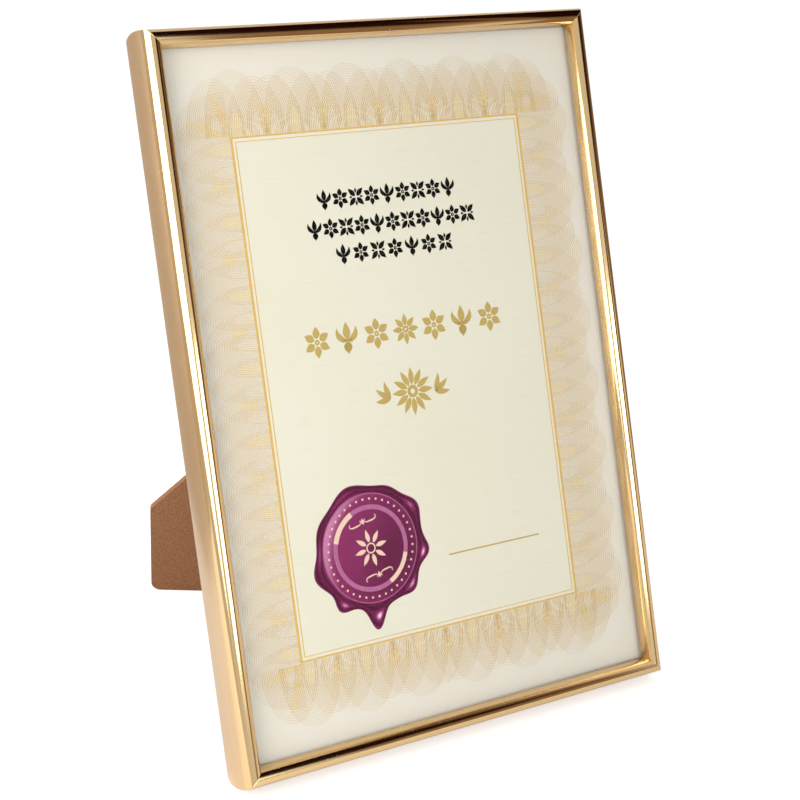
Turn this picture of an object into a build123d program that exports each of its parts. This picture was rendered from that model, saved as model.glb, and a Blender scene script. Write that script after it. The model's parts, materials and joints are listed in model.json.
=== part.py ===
from build123d import *

import math
import os

os.makedirs("parts", exist_ok=True)

# Certificate frame that stands on a diagonal board strut, in millimetres.
# The row stands on the plane Z = 0 with its front towards -Y.
# Work planes are set from the sight plane: x to the right, y up the frame, z to the viewer.

# Sheet that the frame is made for
sheet_width = 210.0
sheet_height = 297.0
sheet_thickness = 0.3
sheet_lap = 3.0

# Pane and backing board, stacked behind the lip
pane_thickness = 2.0
pane_gap = 0.3
board_thickness = 3.0
rebate_play = 0.5

# Moulding section, measured from the sight edge outward and from the lip's seat
rail_width = 8.2
rail_depth = 17.3
crown_height = 5.9
lip_rise = 3.0
lip_run = 0.7
shoulder_radius = 3.3
side_bow_radius = 42.0
side_bow_depth = 3.5
back_edge_radius = 0.8
cut_overrun = 1.0

# Angle nails across the mitres
nail_line = 4.6
nail_wing = 6.0
nail_thickness = 0.6
nail_height = 8.0
nail_sink = 0.3
nail_play = 0.02

# Rivets, all of one size
rivet_shank_radius = 1.5
rivet_head_radius = 2.8
rivet_head_height = 1.0
rivet_tail_radius = 2.3
rivet_tail_height = 0.5
rivet_hole_play = 0.02
rivet_recess_play = 0.2

# Turn buttons and the groove that takes their noses
button_thickness = 1.0
button_body_radius = 5.5
button_nose_radius = 3.5
button_nose_reach = 12.0
button_tail_radius = 3.0
button_tail_reach = 7.0
button_engagement = 1.0
button_hole_play = 0.05
button_lift = 0.05
button_edge_radius = 0.25
groove_play = 0.25
groove_end_play = 0.5
side_button_share = 0.4

# Strut, from the hinge pin's axis to the sharp corner of its foot
strut_length = 205.0
strut_thickness = 3.0
strut_foot_half_width = 32.6
strut_top_half_width = 23.3
strut_fold_clearance = 2.0
strut_foot_radius = 5.0
strut_shoulder_radius = 3.0
strut_top_radius = 3.0
strut_gap = 1.0
strut_opening = 48.5

# Hinge of the strut
hinge_width = 42.0
hinge_leaf_reach = 14.0
hinge_leaf_thickness = 0.8
hinge_leaf_radius = 3.0
hinge_pin_radius = 1.0
hinge_pin_play = 0.05
hinge_knuckle_gap = 0.3
hinge_centre_share = 0.45
hinge_rivet_reach = 9.0
hinge_rivet_half_pitch = 14.0
hinge_stop_reach = 6.0
pin_head_radius = 1.6
pin_head_height = 0.6

# Hanging plates
hanger_thickness = 0.8
hanger_base_width = 24.0
hanger_base_height = 9.0
hanger_base_radius = 2.0
hanger_rivet_half_pitch = 7.0
hanger_standoff = 3.0
hanger_loop_height = 13.5
hanger_loop_top_width = 14.0
hanger_loop_radius = 3.0
hanger_slot_rise = 2.2
hanger_slot_height = 8.6
hanger_slot_width = 15.0
hanger_slot_top_width = 9.0
hanger_slot_radius = 1.2
portrait_hanger_inset = 39.0
landscape_hanger_inset = 36.0

# Half sizes of the sight opening, the rebate and the stacked pieces
half_sight_width = sheet_width / 2 - sheet_lap
half_sight_height = sheet_height / 2 - sheet_lap
rebate_reach = sheet_lap + rebate_play
half_rebate_width = half_sight_width + rebate_reach
half_rebate_height = half_sight_height + rebate_reach

# Levels along z, zero at the lip's seat and negative behind it
pane_back = -pane_thickness
sheet_front = pane_back - pane_gap
board_front = sheet_front - sheet_thickness
board_back = board_front - board_thickness
button_back = board_back - button_thickness
rail_back = -rail_depth

# Centres and end angles of the section's arcs
bow_centre = rail_width - side_bow_radius
shoulder_level = crown_height - shoulder_radius
shoulder_angle = math.asin((shoulder_level + side_bow_depth) / (side_bow_radius - shoulder_radius))
crown_place = bow_centre + (side_bow_radius - shoulder_radius) * math.cos(shoulder_angle)
back_edge_level = rail_back + back_edge_radius
back_edge_angle = math.asin((back_edge_level + side_bow_depth) / (side_bow_radius - back_edge_radius))
back_edge_place = bow_centre + (side_bow_radius - back_edge_radius) * math.cos(back_edge_angle)

# Pin axis behind the board, so that the strut's leaf ends flush with its knuckle
barrel_radius = hinge_pin_radius + hinge_pin_play + hinge_leaf_thickness
pin_drop = strut_gap + strut_thickness + hinge_leaf_thickness - barrel_radius
pin_level = board_back - pin_drop
strut_front = pin_drop - strut_gap
strut_back = strut_front - strut_thickness

# The strut lies on the sheet's diagonal, with its foot in the rebate's lower left corner
diagonal = math.atan2(sheet_width, sheet_height)
along_hinge = Vector(math.cos(diagonal), -math.sin(diagonal), 0)
up_diagonal = Vector(math.sin(diagonal), math.cos(diagonal), 0)
foot_folded = Vector(strut_fold_clearance - half_rebate_width, strut_fold_clearance - half_rebate_height, 0)
hinge_place = foot_folded + up_diagonal * strut_length

# Directions of the opened strut in the frame's own coordinates
opening = math.radians(strut_opening)
to_viewer = Vector(0, 0, 1)
up_leg = up_diagonal * math.cos(opening) + to_viewer * math.sin(opening)
leg_front = to_viewer * math.cos(opening) - up_diagonal * math.sin(opening)
foot_open = hinge_place + to_viewer * pin_level - up_leg * strut_length + leg_front * strut_front


def lean_on(sight_half, foot_reach):
    """Return the lean at which a rail's back edge and the strut's foot are level."""
    up_reach = foot_reach + sight_half + back_edge_place
    back_reach = foot_open.Z - back_edge_level
    slack = math.hypot(up_reach, back_reach)
    return math.atan2(back_reach, up_reach) + math.acos(-back_edge_radius / slack)


def level_cut(upward):
    """Return the direction in the strut's own plane that lies level, given the way up."""
    along = upward.dot(along_hinge)
    up = upward.dot(up_leg)
    size = math.hypot(along, up)
    return Vector(up / size, -along / size, 0)


# Lean on the bottom rail, and on the left rail when the frame stands on that side
lean = lean_on(half_sight_height, foot_open.Y)
side_lean = lean_on(half_sight_width, foot_open.X)
foot_cut = level_cut(Vector(0, math.cos(lean), math.sin(lean)))
side_cut = level_cut(Vector(math.cos(side_lean), 0, math.sin(side_lean))) * -1

# Centre of the foot's rounded corner, in the strut's plane from the pin axis
foot_spread = foot_cut.get_angle(side_cut)
foot_bisector = (foot_cut + side_cut).normalized()
foot_corner = Vector(0, -strut_length, 0)
foot_round = foot_corner + foot_bisector * (strut_foot_radius / math.sin(math.radians(foot_spread / 2)))

# Reach of the whole object along Y, before it is centred
backward = Vector(0, math.sin(lean), -math.cos(lean))
crown_front = Vector(0, -half_sight_height - crown_place, shoulder_level)
front_reach = backward.dot(crown_front) - shoulder_radius
foot_round_back = (
    hinge_place
    + to_viewer * pin_level
    + along_hinge * foot_round.X
    + up_leg * foot_round.Y
    + leg_front * strut_back
)
foot_swell = math.hypot(backward.dot(along_hinge), backward.dot(up_leg))
back_reach = backward.dot(foot_round_back) + strut_foot_radius * foot_swell
back_edge_centre = Vector(0, -half_sight_height - back_edge_place, back_edge_level)
upright = Vector(0, math.cos(lean), math.sin(lean))
sight_y = -(front_reach + back_reach) / 2
sight_z = back_edge_radius - upright.dot(back_edge_centre)

# Sight plane, and the strut's planes on the pin axis
sight = Plane(
    origin=(0, sight_y, sight_z),
    x_dir=(1, 0, 0),
    z_dir=(0, -math.cos(lean), math.sin(lean)),
)


def in_world(direction):
    """Return a direction of the frame's own coordinates as one of the row's."""
    return sight.x_dir * direction.X + sight.y_dir * direction.Y + sight.z_dir * direction.Z


pin_centre = sight.from_local_coords(hinge_place + to_viewer * pin_level)
leg_folded = Plane(origin=pin_centre, x_dir=in_world(along_hinge), z_dir=sight.z_dir)
leg = Plane(origin=pin_centre, x_dir=in_world(along_hinge), z_dir=in_world(leg_front))

# Places of the rivets
button_inset = button_nose_reach - button_engagement
side_button_height = side_button_share * sheet_height / 2
button_places = {
    "turn_button_top": (0, half_rebate_height - button_inset, 90),
    "turn_button_bottom": (0, button_inset - half_rebate_height, -90),
    "turn_button_left_upper": (button_inset - half_rebate_width, side_button_height, 180),
    "turn_button_left_lower": (button_inset - half_rebate_width, -side_button_height, 180),
    "turn_button_right_upper": (half_rebate_width - button_inset, side_button_height, 0),
    "turn_button_right_lower": (half_rebate_width - button_inset, -side_button_height, 0),
}
hanger_places = {
    "portrait_hanger": (0, half_rebate_height - portrait_hanger_inset, 0),
    "landscape_hanger": (half_rebate_width - landscape_hanger_inset, 0, -90),
}


def turned(x, y, angle):
    """Return the plane on the board's back at a place, turned by an angle in degrees."""
    along = Vector(math.cos(math.radians(angle)), math.sin(math.radians(angle)), 0)
    origin = sight.from_local_coords((x, y, board_back))
    return Plane(origin=origin, x_dir=in_world(along), z_dir=sight.z_dir)


hanger_planes = {name: turned(*place) for name, place in hanger_places.items()}
button_planes = {name: turned(*place) for name, place in button_places.items()}
hinge_rivet_sides = (-hinge_rivet_half_pitch, hinge_rivet_half_pitch)
hanger_rivet_sides = (-hanger_rivet_half_pitch, hanger_rivet_half_pitch)

# Seats of the rivet heads, as planes that look to the back
hanger_rivet_height = -hanger_base_height / 2
board_leaf_level = pin_drop - hinge_leaf_thickness
strut_leaf_level = strut_back - hinge_leaf_thickness


def seat_plane(plane, x, y, level):
    """Return a plane at a place on another, level with a rivet's head and facing back."""
    return Plane(
        origin=plane.from_local_coords((x, y, level)),
        x_dir=plane.x_dir,
        z_dir=plane.z_dir * -1,
    )


button_seats = [
    seat_plane(plane, 0, 0, -button_thickness - button_lift) for plane in button_planes.values()
]
hanger_seats = [
    seat_plane(plane, side, hanger_rivet_height, -hanger_thickness)
    for plane in hanger_planes.values()
    for side in hanger_rivet_sides
]
board_leaf_seats = [
    seat_plane(leg_folded, side, hinge_rivet_reach, board_leaf_level) for side in hinge_rivet_sides
]
strut_leaf_seats = [
    seat_plane(leg, side, -hinge_rivet_reach, strut_leaf_level) for side in hinge_rivet_sides
]
button_grip = board_thickness + button_thickness + button_lift
hanger_grip = board_thickness + hanger_thickness
board_leaf_grip = board_thickness + hinge_leaf_thickness
strut_leaf_grip = strut_thickness + hinge_leaf_thickness
board_seats = (
    [(seat, button_grip) for seat in button_seats]
    + [(seat, hanger_grip) for seat in hanger_seats]
    + [(seat, board_leaf_grip) for seat in board_leaf_seats]
)


def make_rivet(seat, grip):
    """Return a rivet with a domed head on its seat and a clinched end flush with the far face."""
    bulge = (rivet_head_radius**2 + rivet_head_height**2) / (2 * rivet_head_height)
    with BuildPart() as rivet:
        with BuildSketch(Plane(origin=seat.origin, x_dir=seat.x_dir, z_dir=seat.y_dir * -1)):
            with BuildLine():
                Polyline(
                    (0, rivet_head_height),
                    (0, -grip),
                    (rivet_tail_radius, -grip),
                    (rivet_tail_radius, rivet_tail_height - grip),
                    (rivet_shank_radius, rivet_tail_height - grip),
                    (rivet_shank_radius, 0),
                    (rivet_head_radius, 0),
                )
                RadiusArc((rivet_head_radius, 0), (0, rivet_head_height), -bulge)
            make_face()
        revolve(axis=Axis(seat.origin, seat.z_dir))
    return rivet.part


def make_rivet_hole(seat, grip):
    """Return the space of a rivet's hole and of the recess for its clinched end."""
    with BuildPart() as hole:
        with BuildSketch(seat.offset(cut_overrun)):
            Circle(rivet_shank_radius + rivet_hole_play)
        extrude(amount=-grip - 2 * cut_overrun)
        with BuildSketch(seat.offset(rivet_tail_height - grip)):
            Circle(rivet_tail_radius + rivet_recess_play)
        extrude(amount=-rivet_tail_height - cut_overrun)
    return hole.part


def make_nails(play, start_level, end_level):
    """Return the four angle nails, or with play the slots that they sit in."""
    with BuildPart() as nails:
        with BuildSketch(sight.offset(start_level)):
            for x_side in (-1, 1):
                for y_side in (-1, 1):
                    x = half_sight_width + nail_line
                    y = half_sight_height + nail_line
                    reach = (nail_wing - nail_thickness) / 2
                    with Locations((x_side * (x - reach), y_side * y)):
                        Rectangle(nail_wing + 2 * play, nail_thickness + 2 * play)
                    with Locations((x_side * x, y_side * (y - reach))):
                        Rectangle(nail_thickness + 2 * play, nail_wing + 2 * play)
        extrude(amount=end_level - start_level)
    return nails.part


def save(piece, name):
    """Label one finished piece and write it to its own file."""
    piece.label = name
    export_step(piece, f"parts/{name}.step")


def save_rivets(name, seats, grip):
    """Make a group of rivets of one grip and write them to one file."""
    rivets = [make_rivet(seat, grip) for seat in seats]
    with BuildPart() as group:
        add(rivets)
    save(group.part, name)


# Angle nails and the slots for them
nail_start = rail_back + nail_sink
nail_end = nail_start + nail_height
corner_nails = make_nails(0, nail_start, nail_end)
nail_slots = make_nails(nail_play, rail_back - cut_overrun, nail_end + nail_play)
save(corner_nails, "corner_nails")

# Four mitred rails
rail_sides = {
    "top_rail": (Vector(0, 1, 0), Vector(-1, 0, 0), half_sight_height, half_sight_width),
    "bottom_rail": (Vector(0, -1, 0), Vector(1, 0, 0), half_sight_height, half_sight_width),
    "left_rail": (Vector(-1, 0, 0), Vector(0, -1, 0), half_sight_width, half_sight_height),
    "right_rail": (Vector(1, 0, 0), Vector(0, 1, 0), half_sight_width, half_sight_height),
}
groove_floor = rebate_reach + button_engagement + groove_end_play
groove_front = board_back + groove_play
groove_back = button_back - groove_play
for name, (outward, length, sight_reach, half_length) in rail_sides.items():
    rail_line = Plane(
        origin=sight.from_local_coords(outward * sight_reach),
        x_dir=in_world(outward),
        z_dir=in_world(outward).cross(sight.z_dir),
    )
    with BuildPart() as rail:
        with BuildSketch(rail_line):
            with BuildLine():
                Line((0, 0), (lip_run, lip_rise))
                TangentArc((crown_place, crown_height), (lip_run, lip_rise), tangent=(-1, 0))
                CenterArc(
                    (crown_place, shoulder_level),
                    shoulder_radius,
                    math.degrees(shoulder_angle),
                    90 - math.degrees(shoulder_angle),
                )
                CenterArc(
                    (bow_centre, -side_bow_depth),
                    side_bow_radius,
                    math.degrees(back_edge_angle),
                    math.degrees(shoulder_angle - back_edge_angle),
                )
                CenterArc(
                    (back_edge_place, back_edge_level),
                    back_edge_radius,
                    -90,
                    90 + math.degrees(back_edge_angle),
                )
                Polyline(
                    (back_edge_place, rail_back),
                    (rebate_reach, rail_back),
                    (rebate_reach, groove_back),
                    (groove_floor, groove_back),
                    (groove_floor, groove_front),
                    (rebate_reach, groove_front),
                    (rebate_reach, 0),
                    (0, 0),
                )
            make_face()
        extrude(amount=half_length + rail_width + cut_overrun, both=True)
        for end in (-1, 1):
            mitre = Plane(
                origin=sight.from_local_coords(outward * sight_reach + length * half_length * end),
                z_dir=in_world(length * end - outward),
            )
            split(bisect_by=mitre, keep=Keep.BOTTOM)
        add(nail_slots, mode=Mode.SUBTRACT)
    save(rail.part, name)

# Pane, sheet and backing board
with BuildPart() as glass_pane:
    with BuildSketch(sight):
        Rectangle(sheet_width, sheet_height)
    extrude(amount=-pane_thickness)
save(glass_pane.part, "glass_pane")

with BuildPart() as certificate_sheet:
    with BuildSketch(sight.offset(sheet_front)):
        Rectangle(sheet_width, sheet_height)
    extrude(amount=-sheet_thickness)
save(certificate_sheet.part, "certificate_sheet")

board_holes = [make_rivet_hole(seat, grip) for seat, grip in board_seats]
with BuildPart() as backing_board:
    with BuildSketch(sight.offset(board_front)):
        Rectangle(sheet_width, sheet_height)
    extrude(amount=-board_thickness)
    add(board_holes, mode=Mode.SUBTRACT)
save(backing_board.part, "backing_board")

# Turn buttons, each with its nose in the groove
for name, plane in button_planes.items():
    with BuildPart() as turn_button:
        with BuildSketch(plane):
            Circle(button_body_radius)
            with Locations((button_nose_reach - button_nose_radius, 0)):
                Circle(button_nose_radius)
            with Locations((button_tail_radius - button_tail_reach, 0)):
                Circle(button_tail_radius)
            make_hull()
            Circle(rivet_shank_radius + button_hole_play, mode=Mode.SUBTRACT)
        extrude(amount=-button_thickness)
        back_face = turn_button.faces().sort_by(Axis(plane.origin, plane.z_dir))[0]
        fillet(back_face.outer_wire().edges(), radius=button_edge_radius)
    save(turn_button.part, name)

save_rivets("button_rivets", button_seats, button_grip)

# Strut with a foot cut level for standing upright and for standing on the left side
foot_end = foot_corner + foot_cut * (strut_foot_half_width / foot_cut.X)
side_end = foot_corner + side_cut * (strut_foot_half_width / -side_cut.X)
strut_top = -barrel_radius - hinge_knuckle_gap
strut_holes = [make_rivet_hole(seat, strut_leaf_grip) for seat in strut_leaf_seats]
with BuildPart() as strut:
    with BuildSketch(leg.offset(strut_front)) as strut_outline:
        with BuildLine():
            Polyline(
                foot_corner,
                foot_end,
                (strut_top_half_width, strut_top),
                (-strut_top_half_width, strut_top),
                side_end,
                close=True,
            )
        make_face()
        by_height = strut_outline.vertices().sort_by(Axis.Y)
        fillet(by_height[:1], radius=strut_foot_radius)
        by_height = strut_outline.vertices().sort_by(Axis.Y)
        fillet(by_height[2:4], radius=strut_shoulder_radius)
        by_height = strut_outline.vertices().sort_by(Axis.Y)
        fillet(by_height[-2:], radius=strut_top_radius)
    extrude(amount=-strut_thickness)
    add(strut_holes, mode=Mode.SUBTRACT)
save(strut.part, "strut")

# Hinge: the board's leaf has the two outer knuckles, the strut's leaf the middle one
knuckle_half = hinge_width * hinge_centre_share / 2
outer_start = knuckle_half + hinge_knuckle_gap
outer_length = hinge_width / 2 - outer_start
outer_middle = outer_start + outer_length / 2
across_pin = Plane(origin=pin_centre, x_dir=leg_folded.y_dir, z_dir=leg_folded.x_dir)

with BuildPart() as hinge_board_leaf:
    with BuildSketch(leg_folded.offset(pin_drop)) as leaf_outline:
        with Locations((0, barrel_radius - hinge_leaf_thickness)):
            Rectangle(
                hinge_width,
                hinge_leaf_reach + hinge_leaf_thickness - barrel_radius,
                align=(Align.CENTER, Align.MIN),
            )
        fillet(leaf_outline.vertices().group_by(Axis.Y)[-1], radius=hinge_leaf_radius)
    extrude(amount=-hinge_leaf_thickness)
    with BuildSketch(leg_folded.offset(pin_drop)):
        for side in (-1, 1):
            with Locations((side * outer_middle, barrel_radius - hinge_leaf_thickness / 2)):
                Rectangle(outer_length, hinge_leaf_thickness)
    extrude(amount=-pin_drop)
    for side in (-1, 1):
        with BuildSketch(across_pin.offset(side * outer_middle)):
            Circle(barrel_radius)
        extrude(amount=outer_length / 2, both=True)
    with BuildSketch(across_pin):
        Circle(hinge_pin_radius + hinge_pin_play)
    extrude(amount=hinge_width, both=True, mode=Mode.SUBTRACT)
    for seat in board_leaf_seats:
        with BuildSketch(seat):
            Circle(rivet_shank_radius + rivet_hole_play)
        extrude(amount=-hinge_leaf_thickness, mode=Mode.SUBTRACT)
save(hinge_board_leaf.part, "hinge_board_leaf")

with BuildPart() as hinge_strut_leaf:
    with BuildSketch(leg.offset(strut_back)) as leaf_outline:
        with Locations((0, -hinge_leaf_reach)):
            Rectangle(
                hinge_width,
                hinge_leaf_reach + strut_top,
                align=(Align.CENTER, Align.MIN),
            )
        fillet(leaf_outline.vertices().group_by(Axis.Y)[0], radius=hinge_leaf_radius)
        with Locations((0, strut_top)):
            Rectangle(2 * knuckle_half, -strut_top, align=(Align.CENTER, Align.MIN))
    extrude(amount=-hinge_leaf_thickness)
    with BuildSketch(across_pin):
        Circle(barrel_radius)
    extrude(amount=knuckle_half, both=True)
    with BuildSketch(leg_folded.offset(board_leaf_level)):
        Rectangle(2 * knuckle_half, hinge_stop_reach, align=(Align.CENTER, Align.MIN))
    extrude(amount=-hinge_leaf_thickness)
    with BuildSketch(across_pin):
        Circle(hinge_pin_radius + hinge_pin_play)
    extrude(amount=hinge_width, both=True, mode=Mode.SUBTRACT)
    for seat in strut_leaf_seats:
        with BuildSketch(seat):
            Circle(rivet_shank_radius + rivet_hole_play)
        extrude(amount=-hinge_leaf_thickness, mode=Mode.SUBTRACT)
save(hinge_strut_leaf.part, "hinge_strut_leaf")

with BuildPart() as hinge_pin:
    with BuildSketch(across_pin):
        Circle(hinge_pin_radius)
    extrude(amount=hinge_width / 2 + hinge_pin_play, both=True)
    for side in (-1, 1):
        with BuildSketch(across_pin.offset(side * (hinge_width / 2 + hinge_pin_play))):
            Circle(pin_head_radius)
        extrude(amount=side * pin_head_height)
save(hinge_pin.part, "hinge_pin")

save_rivets("board_leaf_rivets", board_leaf_seats, board_leaf_grip)
save_rivets("strut_leaf_rivets", strut_leaf_seats, strut_leaf_grip)

# Hanging plates: a riveted base, a step and a loop that stands off the board
for name, plane in hanger_planes.items():
    with BuildPart() as hanger:
        with BuildSketch(plane) as base_outline:
            Rectangle(hanger_base_width, hanger_base_height, align=(Align.CENTER, Align.MAX))
            fillet(base_outline.vertices().group_by(Axis.Y)[0], radius=hanger_base_radius)
            with Locations(*[(side, hanger_rivet_height) for side in hanger_rivet_sides]):
                Circle(rivet_shank_radius + rivet_hole_play, mode=Mode.SUBTRACT)
        extrude(amount=-hanger_thickness)
        with BuildSketch(plane):
            Rectangle(hanger_base_width, hanger_thickness, align=(Align.CENTER, Align.MIN))
        extrude(amount=-hanger_standoff - hanger_thickness)
        with BuildSketch(plane.offset(-hanger_standoff)) as loop_outline:
            with BuildLine():
                Polyline(
                    (-hanger_base_width / 2, 0),
                    (hanger_base_width / 2, 0),
                    (hanger_loop_top_width / 2, hanger_loop_height),
                    (-hanger_loop_top_width / 2, hanger_loop_height),
                    close=True,
                )
            make_face()
            fillet(loop_outline.vertices().group_by(Axis.Y)[-1], radius=hanger_loop_radius)
            with BuildSketch(mode=Mode.SUBTRACT) as slot_outline:
                with BuildLine():
                    Polyline(
                        (-hanger_slot_width / 2, hanger_slot_rise),
                        (hanger_slot_width / 2, hanger_slot_rise),
                        (hanger_slot_top_width / 2, hanger_slot_rise + hanger_slot_height),
                        (-hanger_slot_top_width / 2, hanger_slot_rise + hanger_slot_height),
                        close=True,
                    )
                make_face()
                fillet(slot_outline.vertices(), radius=hanger_slot_radius)
        extrude(amount=-hanger_thickness)
    save(hanger.part, name)

save_rivets("hanger_rivets", hanger_seats, hanger_grip)
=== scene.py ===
"""Looks of a slim gold certificate frame with a glazed print, a turn-button back and a strut."""

import json
import logging
from collections.abc import Sequence
from dataclasses import dataclass
from enum import Enum
from itertools import product
from math import asin, atan2, cos, degrees, exp, hypot, pi, radians, sin, sqrt
from typing import Any

import bmesh
import bpy
from mathutils import Matrix, Quaternion, Vector


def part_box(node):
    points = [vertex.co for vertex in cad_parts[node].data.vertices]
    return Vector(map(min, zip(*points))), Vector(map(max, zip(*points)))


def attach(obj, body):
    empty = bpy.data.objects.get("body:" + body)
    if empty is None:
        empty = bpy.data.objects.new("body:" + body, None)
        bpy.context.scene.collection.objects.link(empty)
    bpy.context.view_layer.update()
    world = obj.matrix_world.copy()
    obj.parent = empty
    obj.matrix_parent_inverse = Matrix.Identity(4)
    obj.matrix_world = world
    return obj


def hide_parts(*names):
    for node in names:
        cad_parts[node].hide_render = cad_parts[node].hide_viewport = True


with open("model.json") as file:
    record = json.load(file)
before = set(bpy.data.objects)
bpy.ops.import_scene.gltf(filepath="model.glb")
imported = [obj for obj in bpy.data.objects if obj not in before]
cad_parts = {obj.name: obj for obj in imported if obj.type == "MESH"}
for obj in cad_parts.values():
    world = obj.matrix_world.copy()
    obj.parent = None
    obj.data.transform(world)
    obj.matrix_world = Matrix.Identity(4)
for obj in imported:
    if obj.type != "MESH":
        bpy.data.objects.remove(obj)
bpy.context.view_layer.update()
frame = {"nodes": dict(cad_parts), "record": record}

MM = 0.001
MIX_FIRST, MIX_SECOND, MIX_RESULT = 6, 7, 2
MERGE_DISTANCE = 1e-7
Point = tuple[float, float]
Socket = bpy.types.NodeSocket
Material = bpy.types.Material
Mesh = bpy.types.Mesh
Thing = bpy.types.Object
log = logging.getLogger("certificate_frame")


class Side(Enum):
    """The four sides of the frame, each with the way out from the sight opening."""

    TOP = ("top", 0, 1)
    BOTTOM = ("bottom", 0, -1)
    LEFT = ("left", -1, 0)
    RIGHT = ("right", 1, 0)

    @property
    def label(self) -> str:
        """Return the side's name as it stands in the names of the pieces."""
        return self.value[0]

    @property
    def outward(self) -> Vector:
        """Return the way out in the frame's own coordinates."""
        return Vector((*self.value[1:], 0))

    @property
    def level(self) -> bool:
        """Return whether the side runs across, as the top and the bottom do."""
        return self.value[2] != 0

    @property
    def turn(self) -> float:
        """Return the turn in degrees from the top to this side."""
        return degrees(atan2(self.outward.y, self.outward.x)) - 90


class Run(Enum):
    """The way that a streak or a fibre runs, as its stretch across, up and forward."""

    ACROSS = (0.03, 1.0, 1.0)
    UPWARD = (1.0, 0.03, 1.0)


@dataclass(frozen=True)
class Colour:
    """A colour as a screen shows it, each part from 0 to 255."""

    red: float
    green: float
    blue: float

    def linear(self) -> tuple[float, ...]:
        """Return the colour on the shader's scale by the sRGB curve, with a full alpha."""
        parts = [part / 255 for part in (self.red, self.green, self.blue)]
        return (*(p / 12.92 if p <= 0.04045 else ((p + 0.055) / 1.055) ** 2.4 for p in parts), 1.0)


@dataclass(frozen=True)
class SightPlane:
    """The plane of the lip's seat: u runs across the glass, v up it and w towards the viewer.

    The origin is in metres and the lean in radians.
    """

    origin: Vector
    lean: float

    @classmethod
    def from_model(cls, sheet_middle: float) -> "SightPlane":
        """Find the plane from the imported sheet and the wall's face.

        Args:
            sheet_middle: How far the sheet's middle lies behind the seat, in mm.

        Returns:
            The plane at rest.
        """
        mounts = frame["record"]["mounts"]
        wall = next(mount for mount in mounts if mount["name"] == "wall_face")
        front = -Vector(wall["axis"])
        low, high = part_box("certificate_sheet")
        return cls((low + high) / 2 + front * sheet_middle * MM, atan2(front.z, -front.y))

    def matrix(self) -> Matrix:
        """Work out where the frame's own coordinates lie.

        Returns:
            The turn and shift from them to the row frame, in metres.
        """
        up = Vector((0, sin(self.lean), cos(self.lean)))
        front = Vector((0, -cos(self.lean), sin(self.lean)))
        turn = Matrix((Vector((1, 0, 0)), up, front)).transposed()
        return Matrix.Translation(self.origin) @ turn.to_4x4()

    def placed(self, middle: Point = (0, 0), turn: float = 0.0, level: float = 0.0) -> Matrix:
        """Return what lays a drawing in mm at a middle and a level, turned by degrees."""
        spot = Matrix.Translation(Vector((*middle, level)))
        return self.matrix() @ Matrix.Scale(MM, 4) @ spot @ Matrix.Rotation(radians(turn), 4, "Z")


class NodeBench:
    """Lays nodes in one tree and joins them."""

    def __init__(self, tree: bpy.types.NodeTree) -> None:
        """Keep the tree that the nodes go in."""
        self.tree = tree

    def node(
        self, kind: str, inputs: dict[str | int, Any] | None = None, **settings: Any
    ) -> bpy.types.Node:
        """Add one node and feed its inputs.

        Args:
            kind: The node's type.
            inputs: Sockets, colours or plain values, by the input's name or number.
            settings: Values of the node's own properties.

        Returns:
            The node.
        """
        made = self.tree.nodes.new(kind)
        for name, value in settings.items():
            setattr(made, name, value)
        for key, value in (inputs or {}).items():
            if isinstance(value, Socket):
                self.tree.links.new(value, made.inputs[key])
            else:
                plain = value.linear() if isinstance(value, Colour) else value
                made.inputs[key].default_value = plain
        return made

    def math(self, operation: str, *values: Any) -> Socket:
        """Return the result of a Math node on one, two or three values."""
        return self.node("ShaderNodeMath", dict(enumerate(values)), operation=operation).outputs[0]

    def share(self, value: Any, low: float, high: float) -> Socket:
        """Return how far a value has come from low to high, from 0 to 1 along a smooth step."""
        inputs = {"Value": value, "From Min": low, "From Max": high}
        return self.node("ShaderNodeMapRange", inputs, interpolation_type="SMOOTHSTEP").outputs[0]

    def parts(self, vector: Socket) -> tuple[Socket, ...]:
        """Return the three parts of a vector."""
        return tuple(self.node("ShaderNodeSeparateXYZ", {0: vector}).outputs)

    def vector(self, *parts: Any) -> Socket:
        """Return a vector of three values."""
        return self.node("ShaderNodeCombineXYZ", dict(enumerate(parts))).outputs[0]

    def rays(self) -> tuple[Socket, Socket]:
        """Tell apart the rays that reach a surface.

        Returns:
            1 for what the eye sees, also through the pane, and 1 for what is mirrored.
        """
        path = self.node("ShaderNodeLightPath").outputs
        seen = self.math("MAXIMUM", path["Is Camera Ray"], path["Is Transmission Ray"])
        return seen, path["Is Glossy Ray"]


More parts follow.
